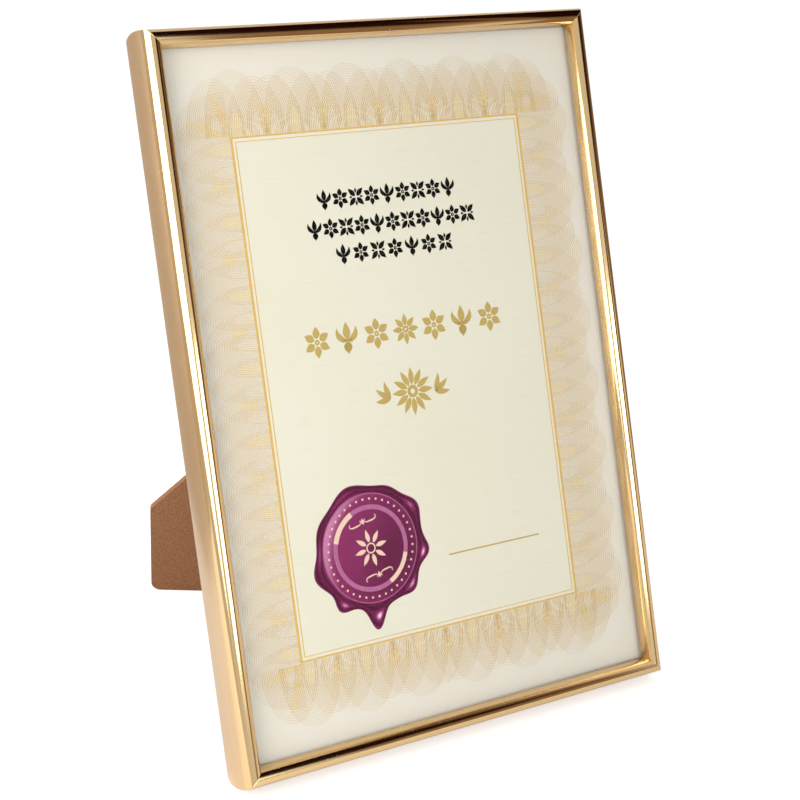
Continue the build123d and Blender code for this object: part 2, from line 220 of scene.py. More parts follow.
class ShaderBench(NodeBench):
    """Builds one material, node by node."""

    def __init__(self, name: str) -> None:
        """Start an empty material.

        Args:
            name: The material's name.
        """
        self.material = bpy.data.materials.new(name)
        self.material.use_nodes = True
        super().__init__(self.material.node_tree)
        self.tree.nodes.clear()

    def place(self, plane: SightPlane, stretch: Sequence[float] | None = None) -> Socket:
        """Return the place on the frame, in mm across, up and forward.

        Args:
            plane: The plane that the frame's own coordinates belong to.
            stretch: A last scale of the three, for patterns that run one way.

        Returns:
            The socket of the place.
        """
        origin = -(plane.matrix().to_3x3().transposed() @ plane.origin) / MM
        inputs = {
            "Vector": self.node("ShaderNodeTexCoord").outputs["Object"],
            "Rotation": (plane.lean - pi / 2, 0, 0),
            "Scale": (1 / MM, 1 / MM, 1 / MM),
            "Location": origin,
        }
        turned = self.node("ShaderNodeMapping", inputs).outputs[0]
        if stretch is None:
            return turned
        return self.node("ShaderNodeMapping", {"Vector": turned, "Scale": stretch}).outputs[0]

    def noise(self, place: Socket, scale: float, detail: float = 2.0) -> Socket:
        """Return a noise of that many swells to a mm, from 0 to 1."""
        inputs = {"Vector": place, "Scale": scale, "Detail": detail}
        return self.node("ShaderNodeTexNoise", inputs).outputs["Fac"]

    def specks(self, place: Socket, scale: float, radius: float, core: float = 0.4) -> Socket:
        """Return 1 on specks of a radius in cells of so many to a mm, full over their core."""
        cells = self.node("ShaderNodeTexVoronoi", {"Vector": place, "Scale": scale})
        return self.share(cells.outputs["Distance"], radius, radius * core)

    def blend(self, share: Any, first: Any, second: Any) -> Socket:
        """Return a colour between two, by a share from 0 to 1."""
        inputs = {"Factor": share, MIX_FIRST: first, MIX_SECOND: second}
        return self.node("ShaderNodeMix", inputs, data_type="RGBA").outputs[MIX_RESULT]

    def between(self, share: Any, first: float, second: float) -> Socket:
        """Return a number between two, by a share from 0 to 1."""
        return self.math("MULTIPLY_ADD", share, second - first, first)

    def bump(self, height: Any, reach: float, strength: float = 1.0) -> Socket:
        """Return a normal bent by a height that swells by reach, in mm."""
        inputs = {"Strength": strength, "Distance": reach * MM, "Height": height}
        return self.node("ShaderNodeBump", inputs).outputs["Normal"]

    def surface(self, **sockets: Any) -> Socket:
        """Return the main shader, its inputs given by name with lines under for the spaces."""
        inputs = {name.replace("_", " "): value for name, value in sockets.items()}
        return self.node("ShaderNodeBsdfPrincipled", inputs).outputs[0]

    def done(self, shader: Socket) -> Material:
        """Join a shader to the output and return the material."""
        self.node("ShaderNodeOutputMaterial", {"Surface": shader})
        return self.material


@dataclass(frozen=True)
class GoldFoil:
    """Gold foil: polished over the moulding's front bead, satin with long streaks on its side.

    The satin starts and is full at those levels in front of the seat, in mm.
    """

    name: str
    plane: SightPlane
    run: Run
    polished: Colour = Colour(230, 197, 146)
    satin: Colour = Colour(220, 190, 152)
    streak: Colour = Colour(190, 150, 105)
    dust: Colour = Colour(250, 238, 215)
    satin_start: float = 2.4
    satin_full: float = 0.4
    polish_roughness: float = 0.11
    polish_spread: float = 0.04
    satin_roughness: Point = (0.23, 0.39)

    def build(self) -> Material:
        """Build the foil.

        Returns:
            The material.
        """
        bench = ShaderBench(self.name)
        place = bench.place(self.plane)
        streaks = bench.place(self.plane, self.run.value)
        side = bench.share(bench.parts(place)[2], self.satin_start, self.satin_full)
        fine = bench.noise(streaks, scale=9.0, detail=3.0)
        broad = bench.noise(streaks, scale=1.3)
        patches = bench.noise(place, scale=0.035)
        specks = bench.specks(place, scale=0.33, radius=0.075)
        dust = bench.math("MULTIPLY", specks, bench.share(patches, low=0.5, high=0.6))
        streaked = bench.blend(bench.math("MULTIPLY", broad, 0.35), self.satin, self.streak)
        satin = bench.between(broad, *self.satin_roughness)
        rougher = bench.math("SUBTRACT", satin, self.polish_roughness)
        low, high = (self.polish_roughness + s * self.polish_spread for s in (-1, 1))
        roughness = bench.math(
            "ADD", bench.math("MULTIPLY", side, rougher), bench.between(patches, low, high)
        )
        height = bench.math("MULTIPLY", fine, bench.between(side, 0.05, 1.0))
        shader = bench.surface(
            Base_Color=bench.blend(dust, bench.blend(side, self.polished, streaked), self.dust),
            Metallic=1.0,
            Roughness=bench.math("ADD", roughness, bench.math("MULTIPLY", dust, 0.4)),
            Normal=bench.bump(height, reach=0.012),
        )
        return bench.done(shader)


@dataclass(frozen=True)
class ClearPane:
    """Clear flat glass that lets the light through to the sheet."""

    name: str
    plane: SightPlane
    tint: Colour = Colour(253, 255, 254)
    passed: Sequence[float] = (0.96, 0.965, 0.96, 1.0)
    bend: float = 1.2

    def build(self) -> Material:
        """Build the glass, whose film of dust shows only in its roughness.

        Returns:
            The material.
        """
        bench = ShaderBench(self.name)
        film = bench.noise(bench.place(self.plane), scale=0.02, detail=3.0)
        shader = bench.surface(
            Base_Color=self.tint,
            Roughness=bench.between(bench.share(film, low=0.5, high=0.8), 0.0, 0.012),
            IOR=self.bend,
            Transmission_Weight=1.0,
        )
        clear = bench.node("ShaderNodeBsdfTransparent", {"Color": self.passed}).outputs[0]
        path = bench.node("ShaderNodeLightPath").outputs
        for ray in ("Is Shadow Ray", "Is Diffuse Ray"):
            inputs = {0: path[ray], 1: shader, 2: clear}
            shader = bench.node("ShaderNodeMixShader", inputs).outputs[0]
        return bench.done(shader)


@dataclass(frozen=True)
class CertificatePaper:
    """Laid paper with a cream margin and an ivory field inside the gold line."""

    name: str
    plane: SightPlane
    field_middle: Point
    field_half: Point
    margin: Colour = Colour(229, 221, 209)
    ivory: Colour = Colour(229, 224, 209)
    ivory_warm: Colour = Colour(226, 217, 194)
    fibre: Colour = Colour(214, 200, 164)

    def build(self) -> Material:
        """Build the paper.

        Returns:
            The material.
        """
        bench = ShaderBench(self.name)
        place = bench.place(self.plane)
        within = []
        for value, middle, half in zip(bench.parts(place), self.field_middle, self.field_half):
            away = bench.math("ABSOLUTE", bench.math("SUBTRACT", value, middle))
            within.append(bench.math("LESS_THAN", away, half))
        laid = bench.noise(bench.place(self.plane, Run.ACROSS.value), scale=2.6, detail=3.0)
        pulp = bench.noise(place, scale=5.0)
        cloud = bench.noise(place, scale=0.012, detail=1.0)
        ivory = bench.blend(cloud, self.ivory, self.ivory_warm)
        fibres = bench.math("MULTIPLY", bench.share(laid, low=0.56, high=0.75), 0.5)
        fibred = bench.blend(fibres, ivory, self.fibre)
        shader = bench.surface(
            Base_Color=bench.blend(bench.math("MULTIPLY", *within), self.margin, fibred),
            Roughness=bench.between(pulp, 0.62, 0.8),
            Specular_IOR_Level=0.25,
            Normal=bench.bump(pulp, reach=0.01, strength=0.5),
        )
        return bench.done(shader)


class Ink(Enum):
    """The inks of the print, each with its shade and its shade where it lies thin."""

    PALE_GOLD = (Colour(204, 162, 52), Colour(212, 172, 70))
    TINT_GOLD = (Colour(233, 218, 188), Colour(234, 222, 198))
    LINE_GOLD = (Colour(214, 172, 92), Colour(228, 192, 120))
    DEEP_GOLD = (Colour(188, 160, 92), Colour(198, 172, 106))
    BLACK = (Colour(11, 9, 6), Colour(20, 16, 11))
    CREAM = (Colour(238, 206, 184), Colour(228, 190, 172))
    ROSE = (Colour(168, 92, 136), Colour(190, 120, 158))


@dataclass(frozen=True)
class PrintingInk:
    """Ink on the sheet, a little uneven as it dries."""

    plane: SightPlane
    ink: Ink
    roughness: Point = (0.42, 0.6)

    def build(self) -> Material:
        """Build the ink.

        Returns:
            The material.
        """
        bench = ShaderBench(f"{self.ink.name.lower()}_ink")
        cover = bench.noise(bench.place(self.plane), scale=1.7)
        shader = bench.surface(
            Base_Color=bench.blend(bench.share(cover, low=0.35, high=0.75), *self.ink.value),
            Roughness=bench.between(cover, *self.roughness),
            Specular_IOR_Level=0.0,
        )
        return bench.done(shader)


@dataclass(frozen=True)
class SealingWax:
    """The printed wax of the seal, dark in the folds and bright along the lit rims."""

    name: str
    plane: SightPlane
    deep: Colour = Colour(52, 2, 26)
    body: Colour = Colour(136, 48, 95)
    rim: Colour = Colour(196, 122, 162)
    glint: Colour = Colour(246, 208, 226)

    def build(self) -> Material:
        """Build the wax, shaded by the mesh's own attribute.

        Returns:
            The material.
        """
        bench = ShaderBench(self.name)
        relief = bench.node("ShaderNodeAttribute", attribute_name="wax_light").outputs["Fac"]
        grain = bench.noise(bench.place(self.plane), scale=1.1)
        lit = bench.math("ADD", relief, bench.between(grain, -0.05, 0.05))
        colour = bench.blend(bench.share(lit, 0.0, 0.45), self.deep, self.body)
        colour = bench.blend(bench.share(lit, 0.45, 0.78), colour, self.rim)
        colour = bench.blend(bench.share(lit, 0.78, 1.0), colour, self.glint)
        roughness = bench.between(grain, 0.45, 0.6)
        shader = bench.surface(Base_Color=colour, Roughness=roughness, Specular_IOR_Level=0.0)
        return bench.done(shader)


@dataclass(frozen=True)
class Fibreboard:
    """Raw fibreboard: pressed brown fibre with pale and dark flecks."""

    name: str
    plane: SightPlane
    ground: Colour = Colour(164, 116, 80)
    dark: Colour = Colour(126, 84, 56)
    pale: Colour = Colour(196, 152, 112)

    def build(self) -> Material:
        """Build the board.

        Returns:
            The material.
        """
        bench = ShaderBench(self.name)
        fibre = bench.noise(bench.place(self.plane, (0.35, 1.0, 1.0)), scale=2.6, detail=4.0)
        fleck = bench.noise(bench.place(self.plane, (1.0, 0.3, 1.0)), scale=3.4, detail=3.0)
        cloud = bench.noise(bench.place(self.plane), scale=0.05, detail=3.0)
        toned = bench.blend(bench.share(fibre, 0.35, 0.7), self.dark, self.ground)
        flecks = bench.math("MULTIPLY", bench.share(fleck, 0.6, 0.74), 0.7)
        clouds = bench.math("MULTIPLY", bench.share(cloud, 0.4, 0.8), 0.25)
        flecked = bench.blend(flecks, toned, self.pale)
        shader = bench.surface(
            Base_Color=bench.blend(clouds, flecked, self.dark),
            Roughness=bench.between(fibre, 0.72, 0.9),
            Specular_IOR_Level=0.25,
            Normal=bench.bump(bench.math("ADD", fibre, fleck), reach=0.05, strength=0.6),
        )
        return bench.done(shader)


@dataclass(frozen=True)
class Steel:
    """Plated or bright steel, with fine rolling marks and a few rubbed spots."""

    name: str
    plane: SightPlane
    shade: Colour
    worn: Colour
    roughness: float
    marks: float

    def build(self) -> Material:
        """Build the metal.

        Returns:
            The material.
        """
        bench = ShaderBench(self.name)
        rolled = bench.noise(bench.place(self.plane, (1.0, 0.06, 1.0)), scale=5.0, detail=3.0)
        spots = bench.noise(bench.place(self.plane), scale=0.35, detail=3.0)
        rubbed = bench.share(spots, low=0.5, high=0.75)
        marked = bench.between(rolled, self.roughness - self.marks, self.roughness + self.marks)
        shader = bench.surface(
            Base_Color=bench.blend(rubbed, self.shade, self.worn),
            Metallic=1.0,
            Roughness=bench.math("ADD", marked, bench.math("MULTIPLY", rubbed, 0.06)),
            Normal=bench.bump(rolled, reach=0.008, strength=0.5),
        )
        return bench.done(shader)


def linked(name: str, data: Any) -> Thing:
    """Put a new object in the scene.

    Args:
        name: The object's name.
        data: Its mesh, lamp or camera.

    Returns:
        The object.
    """
    made = bpy.data.objects.new(name, data)
    bpy.context.scene.collection.objects.link(made)
    return made


def aim(thing: Thing, place: Sequence[float], target: Sequence[float], roll: float = 0.0) -> None:
    """Place an object and turn it to look at a target.

    Args:
        thing: The lamp or the camera.
        place: Where it stands, in metres.
        target: What it looks at, in metres.
        roll: Its turn about its own look, in degrees.
    """
    look = (Vector(target) - Vector(place)).to_track_quat("-Z", "Y")
    thing.location = place
    thing.rotation_mode = "QUATERNION"
    thing.rotation_quaternion = look @ Quaternion((0, 0, 1), radians(roll))


def evaluated(thing: Thing) -> Mesh:
    """Return a plain mesh of what an object's modifiers make."""
    graph = bpy.context.evaluated_depsgraph_get()
    return bpy.data.meshes.new_from_object(thing.evaluated_get(graph))


def plain_mesh(
    name: str,
    corners: Sequence[Sequence[float]],
    faces: Sequence[Sequence[int]],
    edges: Sequence[Sequence[int]] = (),
) -> Mesh:
    """Make a mesh.

    Args:
        name: The mesh's name.
        corners: Its points.
        faces: The corners of each face, by number.
        edges: The corners of each loose edge, by number.

    Returns:
        The mesh.
    """
    made = bpy.data.meshes.new(name)
    made.from_pydata(corners, edges, faces)
    return made


def closed(mesh: Mesh, sharp: float = 35.0) -> Mesh:
    """Turn all faces outward, shade them smooth and keep the edges past an angle sharp.

    Args:
        mesh: The mesh, closed in every part.
        sharp: The angle in degrees past which an edge stays sharp.

    Returns:
        The same mesh.
    """
    work = bmesh.new()
    work.from_mesh(mesh)
    bmesh.ops.remove_doubles(work, verts=work.verts, dist=MERGE_DISTANCE)
    bmesh.ops.recalc_face_normals(work, faces=work.faces)
    for face in work.faces:
        face.smooth = True
    work.to_mesh(mesh)
    work.free()
    mesh.set_sharp_from_angle(angle=radians(sharp))
    return mesh


def joined(name: str, meshes: Sequence[Mesh]) -> Mesh:
    """Join several meshes.

    Args:
        name: The new mesh's name.
        meshes: The meshes, with no material that has to stay.

    Returns:
        One mesh of them all.
    """
    work = bmesh.new()
    for mesh in meshes:
        work.from_mesh(mesh)
    whole = bpy.data.meshes.new(name)
    work.to_mesh(whole)
    work.free()
    return whole


def prism(outline: Sequence[Point], low: float, high: float) -> Mesh:
    """Make a closed slab.

    Args:
        outline: Its outline.
        low: The level of its back.
        high: The level of its front.

    Returns:
        The slab's mesh.
    """
    count = len(outline)
    corners = [(x, y, level) for level in (low, high) for x, y in outline]
    faces = [list(range(count))[::-1], list(range(count, 2 * count))]
    for number in range(count):
        after = (number + 1) % count
        faces.append([number, after, count + after, count + number])
    return plain_mesh("prism", corners, faces)


def arc(middle: Point, radius: float, start: float, end: float, steps: int) -> list[Point]:
    """Return the points of an arc, its angles in radians."""
    angles = [start + (end - start) * step / steps for step in range(steps + 1)]
    return [(middle[0] + radius * cos(a), middle[1] + radius * sin(a)) for a in angles]


def show(name: str, mesh: Mesh, body: str, material: Material) -> Thing:
    """Put a finished mesh in the scene on a body.

    Args:
        name: The piece's name.
        mesh: Its mesh, in place and in metres.
        body: The body that it rides on.
        material: Its material.

    Returns:
        The piece.
    """
    mesh.name = name
    mesh.materials.clear()
    mesh.materials.append(material)
    piece = linked(name, mesh)
    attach(piece, body)
    log.info("%s: %d faces on %s", name, len(mesh.polygons), body)
    return piece


def dress(material: Material, names: Sequence[str]) -> None:
    """Give carried-over nodes a material.

    Args:
        material: The material.
        names: The nodes.
    """
    for name in names:
        frame["nodes"][name].material_slots[0].material = material
        log.info("%s: dressed in %s", name, material.name)


class GeometryBench(NodeBench):
    """Builds one Geometry Nodes tree with named inputs, and runs it."""

    def __init__(self, name: str, sizes: dict[str, float | int]) -> None:
        """Start a tree.

        Args:
            name: The tree's name.
            sizes: The tree's number inputs by name, each with its value.
        """
        super().__init__(bpy.data.node_groups.new(name, "GeometryNodeTree"))
        self.name, self.sizes = name, sizes
        kinds = {key: "Int" if isinstance(value, int) else "Float" for key, value in sizes.items()}
        add = self.tree.interface.new_socket
        for size, kind in {"Geometry": "Geometry", **kinds, "Finish": "Material"}.items():
            add(size, in_out="INPUT", socket_type=f"NodeSocket{kind}")
        add("Geometry", in_out="OUTPUT", socket_type="NodeSocketGeometry")
        self.source = self.node("NodeGroupInput").outputs

    def size(self, name: str) -> Socket:
        """Return the socket of a named input."""
        return self.source[name]

    def index(self) -> Socket:
        """Return the number of each point in its row."""
        return self.node("GeometryNodeInputIndex").outputs[0]

    def moved(self, geometry: Socket, position: Socket) -> Socket:
        """Return the geometry with each point set to a position."""
        inputs = {"Geometry": geometry, "Position": position}
        return self.node("GeometryNodeSetPosition", inputs).outputs[0]

    def points(self, count: Socket, position: Any) -> Socket:
        """Return a row of loose points at positions worked out from their index."""
        return self.node("GeometryNodePoints", {"Count": count, "Position": position}).outputs[0]

    def repeated(self, points: Socket, shape: Socket, scale: Any = (1.0, 1.0, 1.0)) -> Socket:
        """Set a shape on each point, as real geometry.

        Args:
            points: The points.
            shape: The shape.
            scale: Its scale on each axis.

        Returns:
            The socket of them all.
        """
        made = self.node(
            "GeometryNodeInstanceOnPoints", {"Points": points, "Instance": shape, "Scale": scale}
        )
        return self.node("GeometryNodeRealizeInstances", {0: made.outputs[0]}).outputs[0]

    def swept(self, line: Socket, profile: Socket) -> Socket:
        """Return a closed bar of that profile along a line."""
        inputs = {"Curve": line, "Profile Curve": profile, "Fill Caps": True}
        return self.node("GeometryNodeCurveToMesh", inputs).outputs[0]

    def run(self, geometry: Socket, finish: Material, base: Mesh | None = None) -> Mesh:
        """End the tree, run it and keep what it makes.

        Args:
            geometry: The last geometry before the ending.
            finish: The material of what is made.
            base: The mesh that the tree starts from, where it needs one.

        Returns:
            A plain mesh, with no modifier left.
        """
        realized = self.node("GeometryNodeRealizeInstances", {0: geometry}).outputs[0]
        inputs = {"Geometry": realized, "Material": self.size("Finish")}
        dressed = self.node("GeometryNodeSetMaterial", inputs).outputs[0]
        self.node("NodeGroupOutput", {0: dressed})
        holder = linked(self.name, base or bpy.data.meshes.new(self.name))
        modifier = holder.modifiers.new(self.name, "NODES")
        modifier.node_group = self.tree
        values = {**self.sizes, "Finish": finish}
        for item in self.tree.interface.items_tree:
            if item.in_out == "INPUT" and item.name in values:
                modifier[item.identifier] = values[item.name]
        made = evaluated(holder)
        holder.modifiers.remove(modifier)
        bpy.data.objects.remove(holder)
        return made


@dataclass
class Moulding:
    """The four mitred rails, swept from one section and cut for the angle nails. Sizes in mm."""

    plane: SightPlane
    half_width: float = 102.0
    half_height: float = 145.5
    width: float = 8.2
    depth: float = 17.3
    crown_height: float = 5.9
    lip_rise: float = 3.0
    lip_run: float = 0.7
    lip_round: float = 0.12
    shoulder_radius: float = 3.3
    bow_radius: float = 42.0
    bow_depth: float = 3.5
    back_edge_radius: float = 0.8
    rebate: float = 3.5
    groove_floor: float = 5.0
    groove_front: float = -5.35
    groove_back: float = -6.85
    nail_line: float = 4.6
    nail_wing: float = 6.04
    nail_thickness: float = 0.64
    nail_reach: float = 8.32
    nail_overrun: float = 1.0
    seam: float = 0.1
    seam_merge: float = 1e-4
    end_corners: int = 8

    def section(self) -> list[Point]:
        """Draw the section.

        Returns:
            Its outline, out from the sight edge and forward from the lip's seat.
        """
        bow_middle = self.width - self.bow_radius
        shoulder_level = self.crown_height - self.shoulder_radius
        reach = self.bow_radius - self.shoulder_radius
        shoulder = asin((shoulder_level + self.bow_depth) / reach)
        crown = bow_middle + reach * cos(shoulder)
        edge_level = self.back_edge_radius - self.depth
        edge_reach = self.bow_radius - self.back_edge_radius
        edge = asin((edge_level + self.bow_depth) / edge_reach)
        edge_middle = bow_middle + edge_reach * cos(edge)
        run, rise = crown - self.lip_run, self.crown_height - self.lip_rise
        lip_radius = (run * run + rise * rise) / (2 * rise)
        lip_middle = (crown, self.crown_height - lip_radius)
        lip = atan2(self.lip_rise - lip_middle[1], self.lip_run - crown)
        return [
            (self.lip_round, 0.0),
            (self.lip_round * 0.3, self.lip_round * 0.3),
            (self.lip_run * 0.06, self.lip_rise * 0.06),
            *arc(lip_middle, lip_radius, lip, pi / 2, 18),
            *arc((crown, shoulder_level), self.shoulder_radius, pi / 2, shoulder, 18)[1:],
            *arc((bow_middle, -self.bow_depth), self.bow_radius, shoulder, edge, 10)[1:],
            *arc((edge_middle, edge_level), self.back_edge_radius, edge, -pi / 2, 6)[1:],
            (self.rebate, -self.depth),
            (self.rebate, self.groove_back),
            (self.groove_floor, self.groove_back),
            (self.groove_floor, self.groove_front),
            (self.rebate, self.groove_front),
            (self.rebate, 0.0),
        ]

    def sweep(self, side: Side, finish: Material) -> Mesh:
        """Sweep one rail with its mitred ends.

        Args:
            side: The rail's side.
            finish: Its foil.

        Returns:
            The rail, out along x, forward along y and lengthwise along z.
        """
        half = self.half_width if side.level else self.half_height
        bench = GeometryBench("mitred_sweep", {"Half Length": half, "Mitre Slope": 1.0})
        profile = bench.node("GeometryNodeMeshToCurve", {"Mesh": bench.size("Geometry")})
        line = bench.node("GeometryNodeCurvePrimitiveLine", {"Start": (0, 0, -1), "End": (0, 0, 1)})
        bar = bench.swept(line.outputs[0], profile.outputs[0])
        position = bench.node("GeometryNodeInputPosition").outputs[0]
        out, forward, along = bench.parts(position)
        slope, length = bench.size("Mitre Slope"), bench.size("Half Length")
        reach = bench.math("MULTIPLY_ADD", out, slope, length)
        stretched = bench.vector(out, forward, bench.math("MULTIPLY", along, reach))
        outline = self.section()
        edges = [(number, (number + 1) % len(outline)) for number in range(len(outline))]
        base = plain_mesh("moulding_section", [(x, y, 0) for x, y in outline], [], edges)
        return bench.run(bench.moved(bar, stretched), finish, base)

    def soften_seam(self, mesh: Mesh) -> None:
        """Bevel the edges of both mitred ends, so that the seams show as fine grooves.

        Args:
            mesh: The rail, whose ends are its only faces with many corners.
        """
        work = bmesh.new()
        work.from_mesh(mesh)
        bmesh.ops.remove_doubles(work, verts=work.verts, dist=self.seam_merge)
        bmesh.ops.recalc_face_normals(work, faces=work.faces)
        ends = [face for face in work.faces if len(face.verts) > self.end_corners]
        edges = list({edge for face in ends for edge in face.edges})
        bmesh.ops.bevel(
            work, geom=edges, offset=self.seam, segments=1, affect="EDGES", clamp_overlap=True
        )
        work.to_mesh(mesh)
        work.free()

    def nail_cutter(self) -> Thing:
        """Make the four angle-shaped slots.

        Returns:
            One object, in the frame's own mm.
        """
        play = self.nail_thickness / 2
        tail = self.nail_wing - play
        wing = [(play, play), (-tail, play), (-tail, -play), (-play, -play), (-play, -tail)]
        x, y = self.half_width + self.nail_line, self.half_height + self.nail_line
        slots = []
        for across, up in product((-1, 1), repeat=2):
            outline = [(across * (x + a), up * (y + b)) for a, b in (*wing, (play, -tail))]
            low, high = -self.depth - self.nail_overrun, self.nail_reach - self.depth
            slots.append(prism(outline, low, high))
        return linked("nail_slots", closed(joined("nail_slots", slots)))

    def build(self) -> None:
        """Make, cut and place the four rails, in place of the plain ones."""
        cutter = self.nail_cutter()
        foils = {
            True: GoldFoil("gold_foil_level", self.plane, Run.ACROSS).build(),
            False: GoldFoil("gold_foil_upright", self.plane, Run.UPWARD).build(),
        }
        for side in Side:
            foil, outward, front = foils[side.level], side.outward, Vector((0, 0, 1))
            turn = Matrix((outward, front, outward.cross(front))).transposed().to_4x4()
            half = self.half_height if side.level else self.half_width
            mesh = self.sweep(side, foil)
            self.soften_seam(mesh)
            mesh.transform(Matrix.Translation(outward * half) @ turn)
            blank = linked("rail_blank", mesh)
            cut = blank.modifiers.new("nail_slots", "BOOLEAN")
            cut.operation, cut.solver, cut.object = "DIFFERENCE", "EXACT", cutter
            rail = evaluated(blank)
            bpy.data.objects.remove(blank)
            rail.transform(self.plane.placed())
            piece = show(
                f"moulding_{side.label}", closed(rail, 30.0), "frame", foil
            )
            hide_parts(f"{side.label}_rail")
        bpy.data.objects.remove(cutter)


@dataclass(frozen=True)
class Stroke:
    """One inked line: its points across and up, and half its width at each, in mm."""

    points: Sequence[Point]
    halves: Sequence[float]
    closed: bool = False

    def moved(self, turn: float, shift: Point, scale: float = 1.0, flip: bool = False) -> "Stroke":
        """Move the stroke.

        Args:
            turn: Its turn in degrees.
            shift: Where its origin goes.
            scale: Its scale.
            flip: Whether it is mirrored first.

        Returns:
            The moved stroke.
        """
        cosine, sine = cos(radians(turn)), sin(radians(turn))
        points = []
        for x, y in self.points:
            x, y = (-x if flip else x) * scale, y * scale
            points.append((x * cosine - y * sine + shift[0], x * sine + y * cosine + shift[1]))
        return Stroke(points, [half * scale for half in self.halves], self.closed)


def set_at(motif: Sequence[Stroke], place: Point, scale: float = 1.0) -> list[Stroke]:
    """Return a motif's strokes at a place and a scale."""
    return [stroke.moved(0, place, scale) for stroke in motif]


class Pen:
    """Draws traditional ornament as tapered strokes about the origin, in mm."""

    tip: float = 0.03

    @staticmethod
    def scroll(size: float, weight: float, wind: float, steps: int = 44) -> Stroke:
        """Draw a scroll whose bend grows towards its ends.

        Args:
            size: The length of the line.
            weight: Half the line's width at its middle.
            wind: How far each end winds, in radians.
            steps: How many pieces the line has.

        Returns:
            The stroke, about its own middle.
        """
        points, halves, x, y = [(0.0, 0.0)], [], 0.0, 0.0
        for number in range(steps):
            share = 2 * (number + 0.5) / steps - 1
            turn = wind * abs(share) ** 2.2 * share
            x += size / steps * cos(turn)
            y += size / steps * sin(turn)
            points.append((x, y))
        for number in range(steps + 1):
            share = abs(2 * number / steps - 1)
            knob = exp(-(((1 - share) / 0.07) ** 2))
            halves.append(weight * (0.22 + 0.78 * (1 - share**1.6)) + weight * 0.55 * knob)
        middle = [sum(parts) / len(points) for parts in zip(*points)]
        return Stroke([(x - middle[0], y - middle[1]) for x, y in points], halves)

    @staticmethod
    def leaf(length: float, half: float, bend: float = 0.0, steps: int = 14) -> Stroke:
        """Draw a leaf that grows along x from the origin.

        Args:
            length: Its length.
            half: Half its greatest width.
            bend: How far it bends over its length, in radians.
            steps: How many pieces it has.

        Returns:
            The stroke.
        """
        points, halves, x, y = [], [], 0.0, 0.0
        for number in range(steps + 1):
            share = number / steps
            points.append((x, y))
            halves.append(max(Pen.tip, half * sin(pi * share**0.8)))
            x += length / steps * cos(bend * share)
            y += length / steps * sin(bend * share)
        return Stroke(points, halves)

    @staticmethod
    def lozenge(width: float, height: float) -> Stroke:
        """Return a lozenge."""
        return Stroke([(-width / 2, 0), (0, 0), (width / 2, 0)], [Pen.tip, height / 2, Pen.tip])

    @staticmethod
    def ring(radius: float, half: float, start: float = 0.0, end: float = 360.0) -> Stroke:
        """Draw a ring or a part of one.

        Args:
            radius: Its radius.
            half: Half its line's width.
            start: Where it starts, in degrees.
            end: Where it ends, in degrees.

        Returns:
            The stroke, closed where it is a whole ring.
        """
        steps = max(8, int(abs(end - start) / 5))
        whole = end - start >= 360
        count = steps if whole else steps + 1
        angles = [radians(start + (end - start) * number / steps) for number in range(count)]
        points = [(radius * cos(angle), radius * sin(angle)) for angle in angles]
        return Stroke(points, [half] * count, whole)

    @staticmethod
    def box(middle: Point, half: Point, width: float) -> Stroke:
        """Draw a mitred rectangle of line.

        Args:
            middle: Its middle.
            half: How far its outer edges are from the middle.
            width: The line's width.

        Returns:
            The closed stroke.
        """
        x, y = half[0] - width / 2, half[1] - width / 2
        corners = [(-x, -y), (x, -y), (x, y), (-x, y)]
        points = [(middle[0] + a, middle[1] + b) for a, b in corners]
        return Stroke(points, [width / sqrt(2)] * 4, True)

    @staticmethod
    def rosette(petals: int, inner: float, outer: float, half: float) -> list[Stroke]:
        """Draw a rosette of leaves.

        Args:
            petals: How many leaves it has.
            inner: The radius where they start.
            outer: The radius where they end.
            half: Half a leaf's width.

        Returns:
            The strokes.
        """
        leaf = Pen.leaf(outer - inner, half)
        turns = [360 * number / petals + 90 for number in range(petals)]
        roots = [(inner * cos(radians(turn)), inner * sin(radians(turn))) for turn in turns]
        return [leaf.moved(turn, root) for turn, root in zip(turns, roots)]

    @staticmethod
    def bloom() -> list[Stroke]:
        """Return a flower of six petals about 8.4 mm high."""
        return [*Pen.rosette(6, 1.0, 4.3, 1.1), Pen.ring(0.5, 0.28)]

    @staticmethod
    def fleuron() -> list[Stroke]:
        """Draw an upright fleuron about 8.6 mm high: three leaves over a bar and a bud.

        Returns:
            The strokes.
        """
        strokes = [
            Pen.leaf(4.9, 1.15).moved(90, (0, -0.5)),
            Pen.leaf(3.4, 1.0).moved(-90, (0, -1.0)),
            Stroke([(-1.7, -0.75), (1.7, -0.75)], [0.42, 0.42]),
        ]
        for flip in (False, True):
            sign = -1 if flip else 1
            upper = Pen.leaf(5.2, 0.85, 1.9).moved(2 * sign, (sign * 0.2, -0.5), flip=flip)
            lower = Pen.leaf(3.0, 0.6, -1.6).moved(-50 * sign, (sign * 0.2, -1.2), flip=flip)
            strokes += [upper, lower]
        return strokes

    @staticmethod
    def quatrefoil() -> list[Stroke]:
        """Draw a cross of four leaves about 8.6 mm high, with buds between them.

        Returns:
            The strokes.
        """
        strokes = []
        for turn in (45, 135, 225, 315):
            root = (0.55 * cos(radians(turn)), 0.55 * sin(radians(turn)))
            strokes.append(Pen.leaf(4.6, 1.12).moved(turn, root))
        for sign in (1, -1):
            strokes.append(Pen.lozenge(1.2, 2.5).moved(0, (0, 2.7 * sign)))
            strokes.append(Pen.lozenge(1.7, 1.1).moved(0, (2.6 * sign, 0)))
        return strokes


